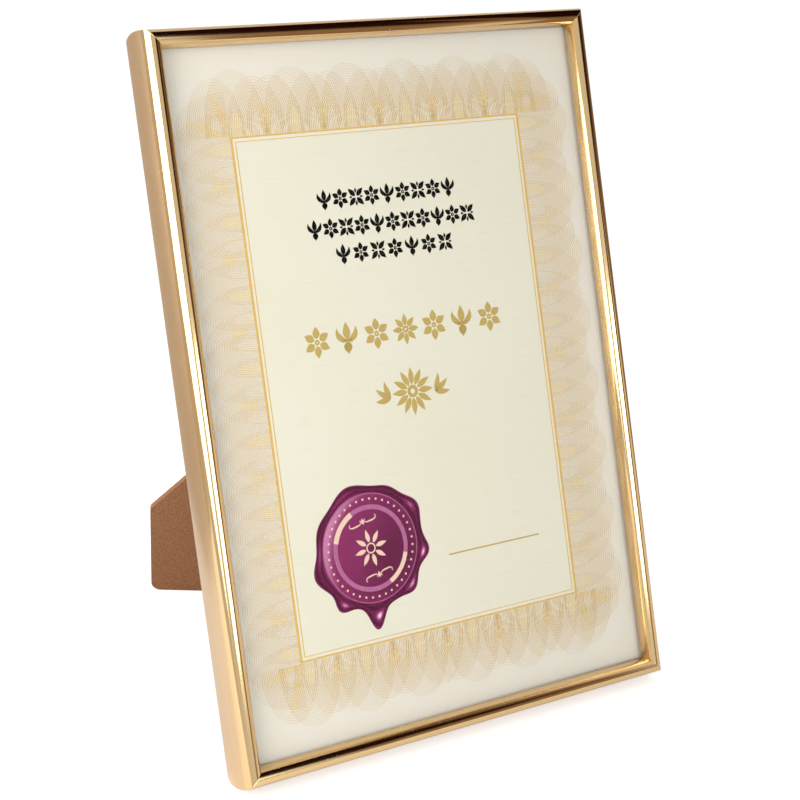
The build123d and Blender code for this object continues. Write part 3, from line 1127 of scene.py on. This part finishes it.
def inked(strokes: Sequence[Stroke], rise: float, sink: float = 0.01) -> Mesh:
    """Make strokes a very thin closed relief.

    Args:
        strokes: The strokes.
        rise: How far they stand over the level zero, in mm.
        sink: How far they reach under it, in mm.

    Returns:
        One mesh of them all.
    """
    corners: list[Sequence[float]] = []
    faces: list[list[int]] = []
    for stroke in strokes:
        start, count = len(corners), len(stroke.points)
        for number, (x, y) in enumerate(stroke.points):
            before, after = number - 1, number + 1
            if stroke.closed:
                after %= count
            else:
                before, after = max(0, before), min(count - 1, after)
            (x0, y0), (x1, y1) = stroke.points[before], stroke.points[after]
            along = Vector((x1 - x0, y1 - y0)).normalized()
            aside, up = along.y * stroke.halves[number], along.x * stroke.halves[number]
            for level in (-sink, rise):
                corners += [(x - aside, y + up, level), (x + aside, y - up, level)]
        for number in range(count if stroke.closed else count - 1):
            a, b = start + 4 * number, start + 4 * ((number + 1) % count)
            faces += [[a + i, b + i, b + j, a + j] for i, j in ((0, 1), (2, 3), (0, 2), (1, 3))]
        if not stroke.closed:
            ends = (start, start + 4 * (count - 1))
            faces += [[end, end + 1, end + 3, end + 2] for end in ends]
    return plain_mesh("inked", corners, faces)


@dataclass(frozen=True)
class PrintedFace:
    """The face of the sheet, on which every printed piece is laid."""

    plane: SightPlane
    level: float = -2.3

    def lay(
        self,
        name: str,
        mesh: Mesh,
        ink: Material,
        spot: Point = (0, 0),
        turn: float = 0.0,
        lift: float = 0.0,
        sharp: float = 35.0,
    ) -> None:
        """Lay a piece drawn in mm on the sheet, turned by degrees and lifted by mm."""
        mesh.transform(self.plane.placed(spot, turn, self.level + lift))
        show(f"print_{name}", closed(mesh, sharp), "frame", ink)


@dataclass(frozen=True)
class Arch:
    """One family of nested guilloche arches, from its innermost line to its outermost, in mm.

    The waist is the share of its width that an arch keeps at its foot.
    """

    half_width: float
    height: float
    inner_half_width: float
    inner_height: float
    lines: int
    waist: float
    roundness: float


@dataclass
class ArchBorder:
    """Guilloche round the field: nested arches along each side, over pale tints and corner rays.

    Sizes are in mm, and the arches stand on the outer gold line.
    """

    face: PrintedFace
    middle: Point
    half: Point
    tall: Arch = Arch(14.2, 26.8, 1.95, 9.7, 16, 1.0, 0.9)
    low: Arch = Arch(12.8, 23.7, 1.8, 8.6, 13, 1.04, 0.95)
    low_shift: float = 9.5
    ray_turn: float = 60.0
    ray_length: float = 23.5
    ray_half: float = 1.7
    ray_bend: float = 0.25
    line_width: float = 0.26
    line_rise: float = 0.06
    line_lift: float = 0.012
    tint_rise: float = 0.012
    arch_points: int = 37
    level_row: tuple[int, float] = (6, 27.7)
    upright_row: tuple[int, float] = (8, 29.8)

    def row(self, side: Side) -> tuple[int, float]:
        """Return how many families stand on a side, and their pitch."""
        return self.level_row if side.level else self.upright_row

    def spot(self, side: Side) -> Point:
        """Return the middle of a side of the outer gold line."""
        x, y, _ = side.outward
        return (self.middle[0] + x * self.half[0], self.middle[1] + y * self.half[1])

    def families(self, name: str, arch: Arch, side: Side, finish: Material) -> Mesh:
        """Make a row of one family of nested arches.

        Args:
            name: The tree's name.
            arch: The family.
            side: The side that the row is for.
            finish: The ink.

        Returns:
            The mesh, along x with the arches up y.
        """
        count, pitch = self.row(side)
        sizes: dict[str, float | int] = {
            "Families": count,
            "Pitch": pitch,
            "Lines": arch.lines,
            "Half Width": arch.half_width,
            "Height": arch.height,
            "Inner Width Share": arch.inner_half_width / arch.half_width,
            "Inner Height Share": arch.inner_height / arch.height,
            "Waist": arch.waist,
            "Roundness": arch.roundness,
            "Line Width": self.line_width,
            "Line Rise": self.line_rise,
            "Arch Points": self.arch_points,
        }
        bench = GeometryBench(name, sizes)
        last = bench.math("SUBTRACT", bench.size("Families"), 1.0)
        place = bench.math("SUBTRACT", bench.index(), bench.math("MULTIPLY", last, 0.5))
        spots = bench.vector(bench.math("MULTIPLY", place, bench.size("Pitch")), 0.0, 0.0)
        row = bench.points(bench.size("Families"), spots)
        return bench.run(self.barred(bench, bench.repeated(row, self.nested(bench))), finish)

    def nested(self, bench: GeometryBench) -> Socket:
        """Lay the nodes of one family.

        Args:
            bench: The tree's bench.

        Returns:
            The family's lines.
        """
        blank = bench.node("GeometryNodeCurvePrimitiveLine").outputs[0]
        inputs = {"Curve": blank, "Count": bench.size("Arch Points")}
        cut = bench.node("GeometryNodeResampleCurve", inputs).outputs[0]
        last = bench.math("SUBTRACT", bench.size("Arch Points"), 1.0)
        angle = bench.math("MULTIPLY", bench.math("DIVIDE", bench.index(), last), pi)
        cosine = bench.math("COSINE", angle)
        sine = bench.math("ABSOLUTE", bench.math("SINE", angle))
        aside = bench.math("POWER", bench.math("ABSOLUTE", cosine), bench.size("Roundness"))
        rise = bench.math("POWER", sine, bench.size("Roundness"))
        freed = bench.math("SUBTRACT", 1.0, bench.size("Waist"))
        girth = bench.math("MULTIPLY_ADD", freed, rise, bench.size("Waist"))
        reach = bench.math("MULTIPLY", girth, bench.size("Half Width"))
        signed = bench.math("MULTIPLY", bench.math("SIGN", cosine), aside)
        across = bench.math("MULTIPLY", signed, reach)
        up = bench.math("MULTIPLY", rise, bench.size("Height"))
        line = bench.moved(cut, bench.vector(across, up, 0.0))
        share = bench.math("DIVIDE", bench.math("ADD", bench.index(), 1.0), bench.size("Lines"))
        scales = []
        for least in (bench.size("Inner Width Share"), bench.size("Inner Height Share")):
            rest = bench.math("SUBTRACT", 1.0, least)
            scales.append(bench.math("MULTIPLY_ADD", share, rest, least))
        points = bench.points(bench.size("Lines"), (0.0, 0.0, 0.0))
        return bench.repeated(points, line, bench.vector(*scales, 1.0))

    def barred(self, bench: GeometryBench, lines: Socket) -> Socket:
        """Make lines closed bars with a low ridge.

        Args:
            bench: The tree's bench.
            lines: The lines.

        Returns:
            The bars.
        """
        level = bench.node("GeometryNodeSetCurveNormal", {"Curve": lines}, mode="Z_UP").outputs[0]
        inputs = {"Resolution": 3, "Radius": 1.0}
        triangle = bench.node("GeometryNodeCurvePrimitiveCircle", inputs).outputs[0]
        width = bench.math("DIVIDE", bench.size("Line Width"), sqrt(3))
        rise = bench.math("DIVIDE", bench.size("Line Rise"), 1.5)
        scale = bench.vector(width, rise, 1.0)
        inputs = {"Geometry": triangle, "Rotation": (0, 0, pi / 2), "Scale": scale}
        return bench.swept(level, bench.node("GeometryNodeTransform", inputs).outputs[0])

    def side_row(self, side: Side, finish: Material) -> Mesh:
        """Make one side's row: tall families, with a lower one on each flank.

        Args:
            side: The side.
            finish: The ink.

        Returns:
            The row, along x with the arches up y.
        """
        rows = [self.families("tall_arches", self.tall, side, finish)]
        for shift in (self.low_shift, -self.low_shift):
            row = self.families("low_arches", self.low, side, finish)
            row.transform(Matrix.Translation((shift, 0, 0)))
            rows.append(row)
        return joined("arch_row", rows)

    def tints(self) -> list[Stroke]:
        """Draw the pale patches: columns, the buds between them and the corner rays.

        Returns:
            The strokes.
        """
        strokes = []
        for side in Side:
            count, pitch = self.row(side)
            for number in range(2 * count - 1):
                x = (number - count + 1) * pitch / 2
                column = Stroke([(x, 0.4), (x, 8.4), (x, 9.8)], [1.9, 1.9, 0.6])
                bud = Stroke([(x, 3.6), (x, 6.0), (x, 9.6), (x, 12.0)], [0.5, 2.3, 2.3, 0.5])
                strokes.append((bud if number % 2 else column).moved(side.turn, self.spot(side)))
        for across, up, bend in product((-1, 1), repeat=3):
            spot = (self.middle[0] + across * self.half[0], self.middle[1] + up * self.half[1])
            ray = Pen.leaf(self.ray_length, self.ray_half, -bend * self.ray_bend)
            turn = degrees(atan2(up, across)) + bend * self.ray_turn / 2
            strokes.append(ray.moved(turn, spot))
        return strokes

    def build(self, lines: Material, tint: Material) -> None:
        """Make the four sides and the tints under them, and lay them on the sheet.

        Args:
            lines: The ink of the lines.
            tint: The ink of the tints.
        """
        for side in Side:
            row = self.side_row(side, lines)
            spot, lift = self.spot(side), self.line_lift
            self.face.lay(f"border_{side.label}", row, lines, spot, side.turn, lift)
        self.face.lay("border_tints", inked(self.tints(), self.tint_rise), tint)


@dataclass
class WaxSeal:
    """The printed wax seal: a poured blob with drips, a disc, rings, beads and a plain rosette.

    Sizes are in mm about the disc's middle, and levels are shares of the rise. A lobe of the
    blob is its angle in degrees, its height and its spread in degrees, and a glint is its angle,
    its strength and its spread.
    """

    face: PrintedFace
    middle: Point = (-34.1, -68.3)
    turn: float = 12.0
    disc: float = 23.4
    pour: float = 26.1
    rise: float = 0.1
    disc_level: float = 0.32
    mark_level: float = 0.36
    rim_rise: float = 0.006
    inset: float = 0.01
    sink: float = 0.01
    under_light: float = 0.2
    ring_radius: float = 17.5
    ring_half: float = 1.0
    bead_count: int = 40
    bead_radius: float = 0.5
    bead_rise: float = 0.04
    bead_ring: float = 21.0
    sectors: int = 288
    rings: int = 26
    disc_rings: int = 6
    lit_from: float = 155.0
    lobes: Sequence[Sequence[float]] = (
        (196.0, 3.6, 15.0), (150.0, 1.4, 17.0), (108.0, 2.2, 20.0), (62.0, 1.2, 15.0),
        (31.0, 4.2, 14.0), (-12.0, 3.8, 11.0), (-48.0, 2.6, 11.0), (-92.0, 8.6, 8.5),
        (-128.0, 4.4, 10.0), (-168.0, 0.6, 12.0),
    )
    glints: Sequence[Sequence[float]] = (
        (176.0, 0.35, 9.0), (118.0, 0.2, 12.0), (34.0, 0.45, 6.0), (-14.0, 0.8, 5.0),
        (-46.0, 0.7, 6.0), (-90.0, 0.85, 3.4), (-127.0, 0.6, 4.0),
    )

    @staticmethod
    def hills(angle: float, table: Sequence[Sequence[float]], start: float) -> float:
        """Sum round hills about the seal.

        Args:
            angle: Where, in degrees.
            table: The hills: an angle, a height and a spread each.
            start: The level that they stand on.

        Returns:
            The level there.
        """
        for place, height, spread in table:
            away = (angle - place + 180) % 360 - 180
            start += height * exp(-((away / spread) ** 2))
        return start

    def edge(self, angle: float) -> float:
        """Return the blob's reach at an angle in degrees."""
        return self.hills(angle, self.lobes, self.pour) + 0.3 * sin(radians(7 * angle + 40))

    def polar(self, x: float, y: float) -> tuple[float, float, float]:
        """Find a place about the seal's middle.

        Args:
            x: The place across.
            y: The place up.

        Returns:
            Its radius, its angle in degrees and its share of the way from the disc to the edge.
        """
        radius, angle = hypot(x, y), degrees(atan2(y, x))
        share = (radius - self.disc) / max(self.edge(angle) - self.disc, 0.1)
        return radius, angle, min(1.0, share)

    def swell(self, x: float, y: float) -> float:
        """Work out the wax's height.

        Args:
            x: The place across.
            y: The place up.

        Returns:
            The height there, as a share of the greatest.
        """
        radius, _, share = self.polar(x, y)
        if radius <= self.disc:
            return self.disc_level + 0.14 * max(0.0, (radius - self.disc + 1.5) / 1.5) ** 2
        if share < 0.5:
            return 0.46 + 0.54 * sin(pi * share)
        return sqrt(max(0.0, 1 - ((share - 0.5) / 0.5) ** 2))

    def light(self, x: float, y: float) -> float:
        """Work out how bright the print shows the wax, bright along its ridges and lit rims.

        Args:
            x: The place across.
            y: The place up.

        Returns:
            The light there, mostly from 0 to 1.
        """
        radius, angle, share = self.polar(x, y)
        facing = cos(radians(angle - self.lit_from))
        lit = max(0.0, facing)
        if radius <= self.disc:
            rim = exp(-(((self.disc - 0.9 - radius) / 1.3) ** 2))
            haze = exp(-(((self.disc - radius) / 5.5) ** 2)) * lit**2
            return 0.3 + 0.09 * facing + 0.3 * rim * (0.3 + 0.7 * lit) + 0.3 * haze
        ridge = self.hills(angle, self.glints, 0.0)
        line = exp(-(((share - 0.52) / 0.16) ** 2))
        rim = exp(-(((share - 0.93) / 0.05) ** 2))
        fold = exp(-((share / 0.16) ** 2)) * (0.1 + 0.45 * lit)
        return 0.13 + ridge * line + 0.22 * rim + fold + 0.08 * line

    def blob(self) -> Mesh:
        """Make the poured wax.

        Returns:
            A low closed relief, with its light as an attribute.
        """
        count, inside = self.sectors, self.disc_rings
        corners: list[Sequence[float]] = [(0.0, 0.0, self.disc_level * self.rise)]
        lights = [self.light(0.0, 0.0)]
        for ring, sector in product(range(1, self.rings + 1), range(count)):
            angle = 360 * sector / count
            if ring <= inside:
                radius = self.disc * ring / inside
            else:
                pour = self.edge(angle) - self.disc
                radius = self.disc + pour * (ring - inside) / (self.rings - inside)
            x, y = radius * cos(radians(angle)), radius * sin(radians(angle))
            inner = radius - self.inset
            near = (x * inner / radius, y * inner / radius)
            level = self.rim_rise if ring == self.rings else self.swell(*near) * self.rise
            corners.append((x, y, level))
            lights.append(self.light(*near))
        corners += [(x, y, -self.sink) for x, y, _ in corners[-count:]]
        corners.append((0.0, 0.0, -self.sink))
        lights += [self.under_light] * (count + 1)
        faces = []
        for sector in range(count):
            after = (sector + 1) % count
            for low in range(1, 1 + self.rings * count, count):
                high = low + count
                faces.append([low + sector, high + sector, high + after, low + after])
            faces.append([0, 1 + sector, 1 + after])
            faces.append([len(corners) - 1, high + after, high + sector])
        mesh = plain_mesh("wax", corners, faces)
        mesh.attributes.new("wax_light", "FLOAT", "POINT").data.foreach_set("value", lights)
        return mesh

    def beads(self, finish: Material) -> Mesh:
        """Make the ring of beads in the band round the disc.

        Args:
            finish: The beads' ink.

        Returns:
            The mesh of them all.
        """
        sizes: dict[str, float | int] = {
            "Beads": self.bead_count,
            "Ring Radius": self.bead_ring,
            "Bead Radius": self.bead_radius,
            "Bead Rise": self.bead_rise,
        }
        bench = GeometryBench("bead_ring", sizes)
        turn = bench.math("DIVIDE", bench.index(), bench.size("Beads"))
        turn = bench.math("MULTIPLY", turn, 2 * pi)
        across, up = (
            bench.math("MULTIPLY", bench.math(kind, turn), bench.size("Ring Radius"))
            for kind in ("COSINE", "SINE")
        )
        spots = bench.points(bench.size("Beads"), bench.vector(across, up, 0.0))
        inputs = {"Segments": 10, "Rings": 6, "Radius": 1.0}
        bead = bench.node("GeometryNodeMeshUVSphere", inputs).outputs[0]
        radius, rise = bench.size("Bead Radius"), bench.size("Bead Rise")
        return bench.run(bench.repeated(spots, bead, bench.vector(radius, radius, rise)), finish)

    def marks(self) -> list[Stroke]:
        """Draw the cream marks on the disc: two bows, a rosette and four small scrolls.

        Returns:
            The strokes.
        """
        strokes = [
            Pen.ring(self.ring_radius, 1.15, start=104, end=152),
            Pen.ring(self.ring_radius, 1.0, start=-76, end=-28),
            Pen.ring(2.0, 0.3),
            *Pen.rosette(8, 2.6, 8.2, 1.0),
        ]
        curl = Pen.scroll(8.6, 0.34, 3.0)
        for turn, sign in ((0, 1), (180, -1)):
            for flip in (False, True):
                spot = (-3.9 if flip else 3.9, 11.6 * sign)
                strokes.append(curl.moved(turn, spot, flip=flip))
            strokes.append(Pen.lozenge(1.6, 3.0).moved(0, (0, 12.0 * sign)))
        return strokes

    def build(self, wax: Material, cream: Material, rose: Material) -> None:
        """Make the seal's parts and lay them on the sheet.

        Args:
            wax: The wax's material.
            cream: The ink of the marks and the beads.
            rose: The ink of the rings.
        """
        lift = self.mark_level * self.rise
        rings = [Pen.ring(self.disc - 0.2, 0.16), Pen.ring(self.ring_radius, self.ring_half)]
        marks = joined("seal_marks", [inked(self.marks(), 0.024), self.beads(cream)])
        self.face.lay("seal_wax", self.blob(), wax, self.middle, sharp=60.0)
        self.face.lay("seal_rings", inked(rings, 0.012), rose, self.middle, lift=lift)
        self.face.lay("seal_marks", marks, cream, self.middle, self.turn, lift)


@dataclass
class Certificate:
    """The print: gold lines, guilloche, ornament without words, a signing line and a seal.

    Sizes are in mm from the middle of the sight opening. A row of the heading is its middle
    across and up, its count of motifs and their pitch.
    """

    plane: SightPlane
    middle: Point = (-2.0, -0.07)
    half: Point = (73.0, 109.1)
    outer_line: float = 0.95
    line_gap: float = 1.1
    inner_line: float = 0.4
    line_rise: float = 0.04
    mark_rise: float = 0.03
    signing_line: Sequence[Point] = ((4.8, -78.6), (54.0, -78.6))
    signing_half: float = 0.32
    rows: Sequence[Sequence[float]] = (
        (-3.0, 79.7, 9, 7.9),
        (-2.0, 67.6, 11, 7.8),
        (-2.5, 56.3, 7, 8.7),
    )

    def frame_lines(self) -> list[Stroke]:
        """Draw the two gold rectangles round the field.

        Returns:
            The strokes.
        """
        inset = self.outer_line + self.line_gap
        inner = (self.half[0] - inset, self.half[1] - inset)
        outer_box = Pen.box(self.middle, self.half, self.outer_line)
        return [outer_box, Pen.box(self.middle, inner, self.inner_line)]

    def heading(self) -> list[Stroke]:
        """Draw three bold rows of fleurons, flowers and leaf crosses, in a title's place.

        Returns:
            The strokes.
        """
        motifs = (Pen.fleuron, Pen.bloom, Pen.quatrefoil, Pen.bloom)
        strokes = []
        for middle, height, count, pitch in self.rows:
            for number in range(count):
                place = (middle + (number - (count - 1) / 2) * pitch, height)
                strokes += set_at(motifs[number % 4](), place)
        return strokes

    def ornament(self) -> list[Stroke]:
        """Draw the gold row across the field and the medallion under it.

        Returns:
            The strokes.
        """
        strokes = set_at([*Pen.rosette(8, 1.5, 6.7, 1.25), Pen.ring(1.0, 0.5)], (-2.6, 21.2))
        for number in (-3, -2, -1, 1, 2, 3):
            motif = Pen.bloom() if number % 2 else Pen.fleuron()
            strokes += set_at(motif, (-2.6 + number * 14.8, 21.2), 1.55)
        strokes += set_at([*Pen.rosette(12, 2.9, 10.4, 1.35), Pen.ring(1.9, 0.8)], (-3.0, -5.6))
        for sign, (turn, size) in product((-1, 1), ((58, 8.0), (20, 8.6), (-18, 8.0))):
            spray, spot = Pen.leaf(size, 1.25, 0.5), (-3.0 + sign * 11.4, -7.0)
            strokes.append(spray.moved(turn * sign, spot, flip=sign < 0))
        return strokes

    def build(self) -> None:
        """Dress the sheet and lay every part of the print on it."""
        paper = CertificatePaper("certificate_paper", self.plane, self.middle, self.half)
        dress(paper.build(), ["certificate_sheet"])
        inks = {ink: PrintingInk(self.plane, ink).build() for ink in Ink}
        face = PrintedFace(self.plane)
        border = ArchBorder(face, self.middle, self.half)
        border.build(inks[Ink.PALE_GOLD], inks[Ink.TINT_GOLD])
        signing = Stroke(self.signing_line, [self.signing_half] * 2)
        for name, strokes, rise, ink in (
            ("gold_lines", self.frame_lines(), self.line_rise, Ink.LINE_GOLD),
            ("heading", self.heading(), self.mark_rise, Ink.BLACK),
            ("ornament", self.ornament(), self.mark_rise, Ink.DEEP_GOLD),
            ("signing_line", [signing], self.mark_rise, Ink.DEEP_GOLD),
        ):
            face.lay(name, inked(strokes, rise), inks[ink])
        wax = SealingWax("sealing_wax", self.plane).build()
        WaxSeal(face).build(wax, inks[Ink.CREAM], inks[Ink.ROSE])


@dataclass
class BackFittings:
    """The glass, the boards and the metal fittings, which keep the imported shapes."""

    plane: SightPlane
    plates: Sequence[str] = (
        "hinge_board_leaf", "hinge_strut_leaf", "portrait_hanger", "landscape_hanger",
        "turn_button_top", "turn_button_bottom", "turn_button_left_upper",
        "turn_button_left_lower", "turn_button_right_upper", "turn_button_right_lower",
    )
    pins: Sequence[str] = (
        "corner_nails", "button_rivets", "hinge_pin", "board_leaf_rivets",
        "strut_leaf_rivets", "hanger_rivets",
    )
    plated: Sequence[Colour] = (Colour(198, 199, 202), Colour(178, 180, 184))
    bright: Sequence[Colour] = (Colour(214, 214, 214), Colour(196, 197, 200))

    def build(self) -> None:
        """Dress every one of them."""
        board = Fibreboard("fibreboard_flat", self.plane)
        plated = Steel("plated_steel", self.plane, *self.plated, roughness=0.3, marks=0.06)
        bright = Steel("bright_steel", self.plane, *self.bright, roughness=0.2, marks=0.04)
        dress(ClearPane("clear_glass", self.plane).build(), ["glass_pane"])
        dress(board.build(), ["backing_board", "strut"])
        dress(plated.build(), self.plates)
        dress(bright.build(), self.pins)


@dataclass(frozen=True)
class Viewpoint:
    """The photograph's camera: its place and aim in metres, its roll in degrees, its lens in mm."""

    place: Sequence[float] = (-0.456918, -0.650621, 0.460964)
    target: Sequence[float] = (-0.011231, -0.029054, 0.138715)
    roll: float = 5.5457
    lens: float = 87.466
    sensor: float = 36.0
    clip: Point = (0.01, 50.0)

    def build(self) -> None:
        """Make the camera and set it as the scene's."""
        data = bpy.data.cameras.new("viewer")
        data.sensor_width, data.lens = self.sensor, self.lens
        data.clip_start, data.clip_end = self.clip
        camera = linked("viewer", data)
        aim(camera, self.place, self.target, self.roll)
        bpy.context.scene.camera = camera


@dataclass(frozen=True)
class Lamp:
    """A soft box that shines from a place towards an aim, in metres, with an even brightness."""

    name: str
    place: Sequence[float]
    target: Sequence[float]
    width: float
    height: float
    brightness: float

    def build(self) -> None:
        """Make the lamp, out of the camera's sight."""
        data = bpy.data.lights.new(self.name, "AREA")
        data.shape = "RECTANGLE"
        data.size, data.size_y = self.width, self.height
        data.energy = self.brightness * pi * self.width * self.height
        lamp = linked(self.name, data)
        aim(lamp, self.place, self.target)
        lamp.visible_camera = False


@dataclass(frozen=True)
class MirrorScreen:
    """A studio screen that only polished surfaces mirror, in metres.

    Its rows of points run up from the floor, and its colour turns from low to high over the fade.
    """

    name: str
    rows: Sequence[Sequence[Sequence[float]]]
    low_colour: Colour
    high_colour: Colour
    fade: Point = (0.0, 1.0)

    @classmethod
    def round_wall(
        cls,
        name: str,
        profile: Sequence[Point],
        angles: Point,
        colours: Sequence[Colour],
        fade: Point,
    ) -> "MirrorScreen":
        """Turn a profile of distances and heights round the object.

        Args:
            name: The screen's name.
            profile: Distances and heights, from the floor up.
            angles: Where it starts and ends, in degrees from the front.
            colours: Its colours, low and high.
            fade: The heights between which the one turns into the other.

        Returns:
            The screen.
        """
        steps = 24
        turns = [angles[0] + (angles[1] - angles[0]) * step / steps for step in range(steps + 1)]
        rows = [
            [(away * sin(radians(turn)), -away * cos(radians(turn)), height) for turn in turns]
            for away, height in profile
        ]
        return cls(name, rows, *colours, fade)

    def build(self) -> None:
        """Make the screen, hidden from all rays but the mirrored ones."""
        width = len(self.rows[0])
        faces = []
        for row, step in product(range(len(self.rows) - 1), range(width - 1)):
            first = row * width + step
            faces.append([first, first + 1, first + width + 1, first + width])
        mesh = plain_mesh(self.name, [point for row in self.rows for point in row], faces)
        bench = ShaderBench(self.name)
        height = bench.parts(bench.node("ShaderNodeTexCoord").outputs["Object"])[2]
        colour = bench.blend(bench.share(height, *self.fade), self.low_colour, self.high_colour)
        glow = bench.node("ShaderNodeEmission", {"Color": colour})
        mesh.materials.append(bench.done(glow.outputs[0]))
        screen = linked(self.name, mesh)
        screen.visible_camera = False
        screen.visible_diffuse = False
        screen.visible_shadow = False
        screen.visible_transmission = False


@dataclass
class Studio:
    """The plain pale floor, the white surround, the soft lamps and the screens."""

    floor_reach: float = 4.0
    floor_shade: Colour = Colour(226, 226, 226)
    floor_glow: float = 0.52
    mirror_glow: float = 0.1
    mirror_surround: float = 0.74
    surround: float = 0.66
    lamps: Sequence[Lamp] = (
        Lamp("left_soft_box", (-0.36, -0.06, 0.275), (0.0, -0.06, 0.2), 0.52, 0.34, 4.0),
        Lamp("front_soft_box", (0.01, -1.15, 0.43), (0.0, 0.0, 0.15), 0.84, 0.3, 4.4),
    )
    screens: Sequence[MirrorScreen] = (
        MirrorScreen.round_wall(
            "dark_screen",
            (
                (0.32, 0.002), (1.25, 0.002), (1.3, 0.08), (1.3, 0.4),
                (1.15, 0.8), (0.8, 1.2), (0.3, 1.4),
            ),
            angles=(25.0, 122.0),
            colours=(Colour(142, 118, 96), Colour(34, 10, 8)),
            fade=(0.3, 0.75),
        ),
        MirrorScreen.round_wall(
            "grey_mat",
            ((0.2, 0.002), (1.8, 0.002)),
            angles=(-215.0, -112.0),
            colours=(Colour(208, 196, 182), Colour(208, 196, 182)),
            fade=(0.0, 1.0),
        ),
        MirrorScreen(
            "white_card",
            [((0.16, -0.065, z), (0.74, -0.88, z)) for z in (0.004, 0.12, 0.2, 0.3, 0.4, 0.5)],
            low_colour=Colour(238, 232, 226),
            high_colour=Colour(120, 96, 74),
            fade=(0.16, 0.34),
        ),
    )

    def floor(self) -> None:
        """Lay the floor, white to the eye, with the object's own soft shadow on it."""
        reach = self.floor_reach
        corners = [(-reach, -reach, 0), (reach, -reach, 0), (reach, reach, 0), (-reach, reach, 0)]
        mesh = plain_mesh("studio_floor", corners, [[0, 1, 2, 3]])
        bench = ShaderBench("studio_floor")
        matte = bench.node("ShaderNodeBsdfDiffuse", {"Color": self.floor_shade})
        seen, mirrored = bench.rays()
        mirrored = bench.math("MULTIPLY", mirrored, self.mirror_glow)
        strength = bench.math("MAXIMUM", bench.math("MULTIPLY", seen, self.floor_glow), mirrored)
        glow = bench.node("ShaderNodeEmission", {"Strength": strength})
        both = bench.node("ShaderNodeAddShader", {0: matte.outputs[0], 1: glow.outputs[0]})
        mesh.materials.append(bench.done(both.outputs[0]))
        plane = linked("studio_floor", mesh)

    def world(self) -> None:
        """Make the surround white to the eye and a plain soft light on the object."""
        world = bpy.data.worlds.new("surround")
        world.use_nodes = True
        world.node_tree.nodes.clear()
        bench = NodeBench(world.node_tree)
        seen, mirrored = bench.rays()
        mirrored = bench.math("MULTIPLY", mirrored, self.mirror_surround - self.surround)
        strength = bench.math("MAXIMUM", seen, bench.math("ADD", mirrored, self.surround))
        sky = bench.node("ShaderNodeBackground", {"Color": (1.0,) * 4, "Strength": strength})
        bench.node("ShaderNodeOutputWorld", {"Surface": sky.outputs[0]})
        bpy.context.scene.world = world

    def build(self) -> None:
        """Set up the whole studio."""
        bpy.context.scene.view_settings.view_transform = "Standard"
        self.floor()
        self.world()
        for part in (*self.lamps, *self.screens, Viewpoint()):
            part.build()


def main() -> None:
    """Build the object's looks, piece by piece, and the studio round it."""
    logging.basicConfig(level=logging.INFO, format="%(name)s: %(message)s")
    plane = SightPlane.from_model(sheet_middle=2.45)
    for part in (Moulding(plane), Certificate(plane), BackFittings(plane), Studio()):
        part.build()


if __name__ == "__main__":
    main()
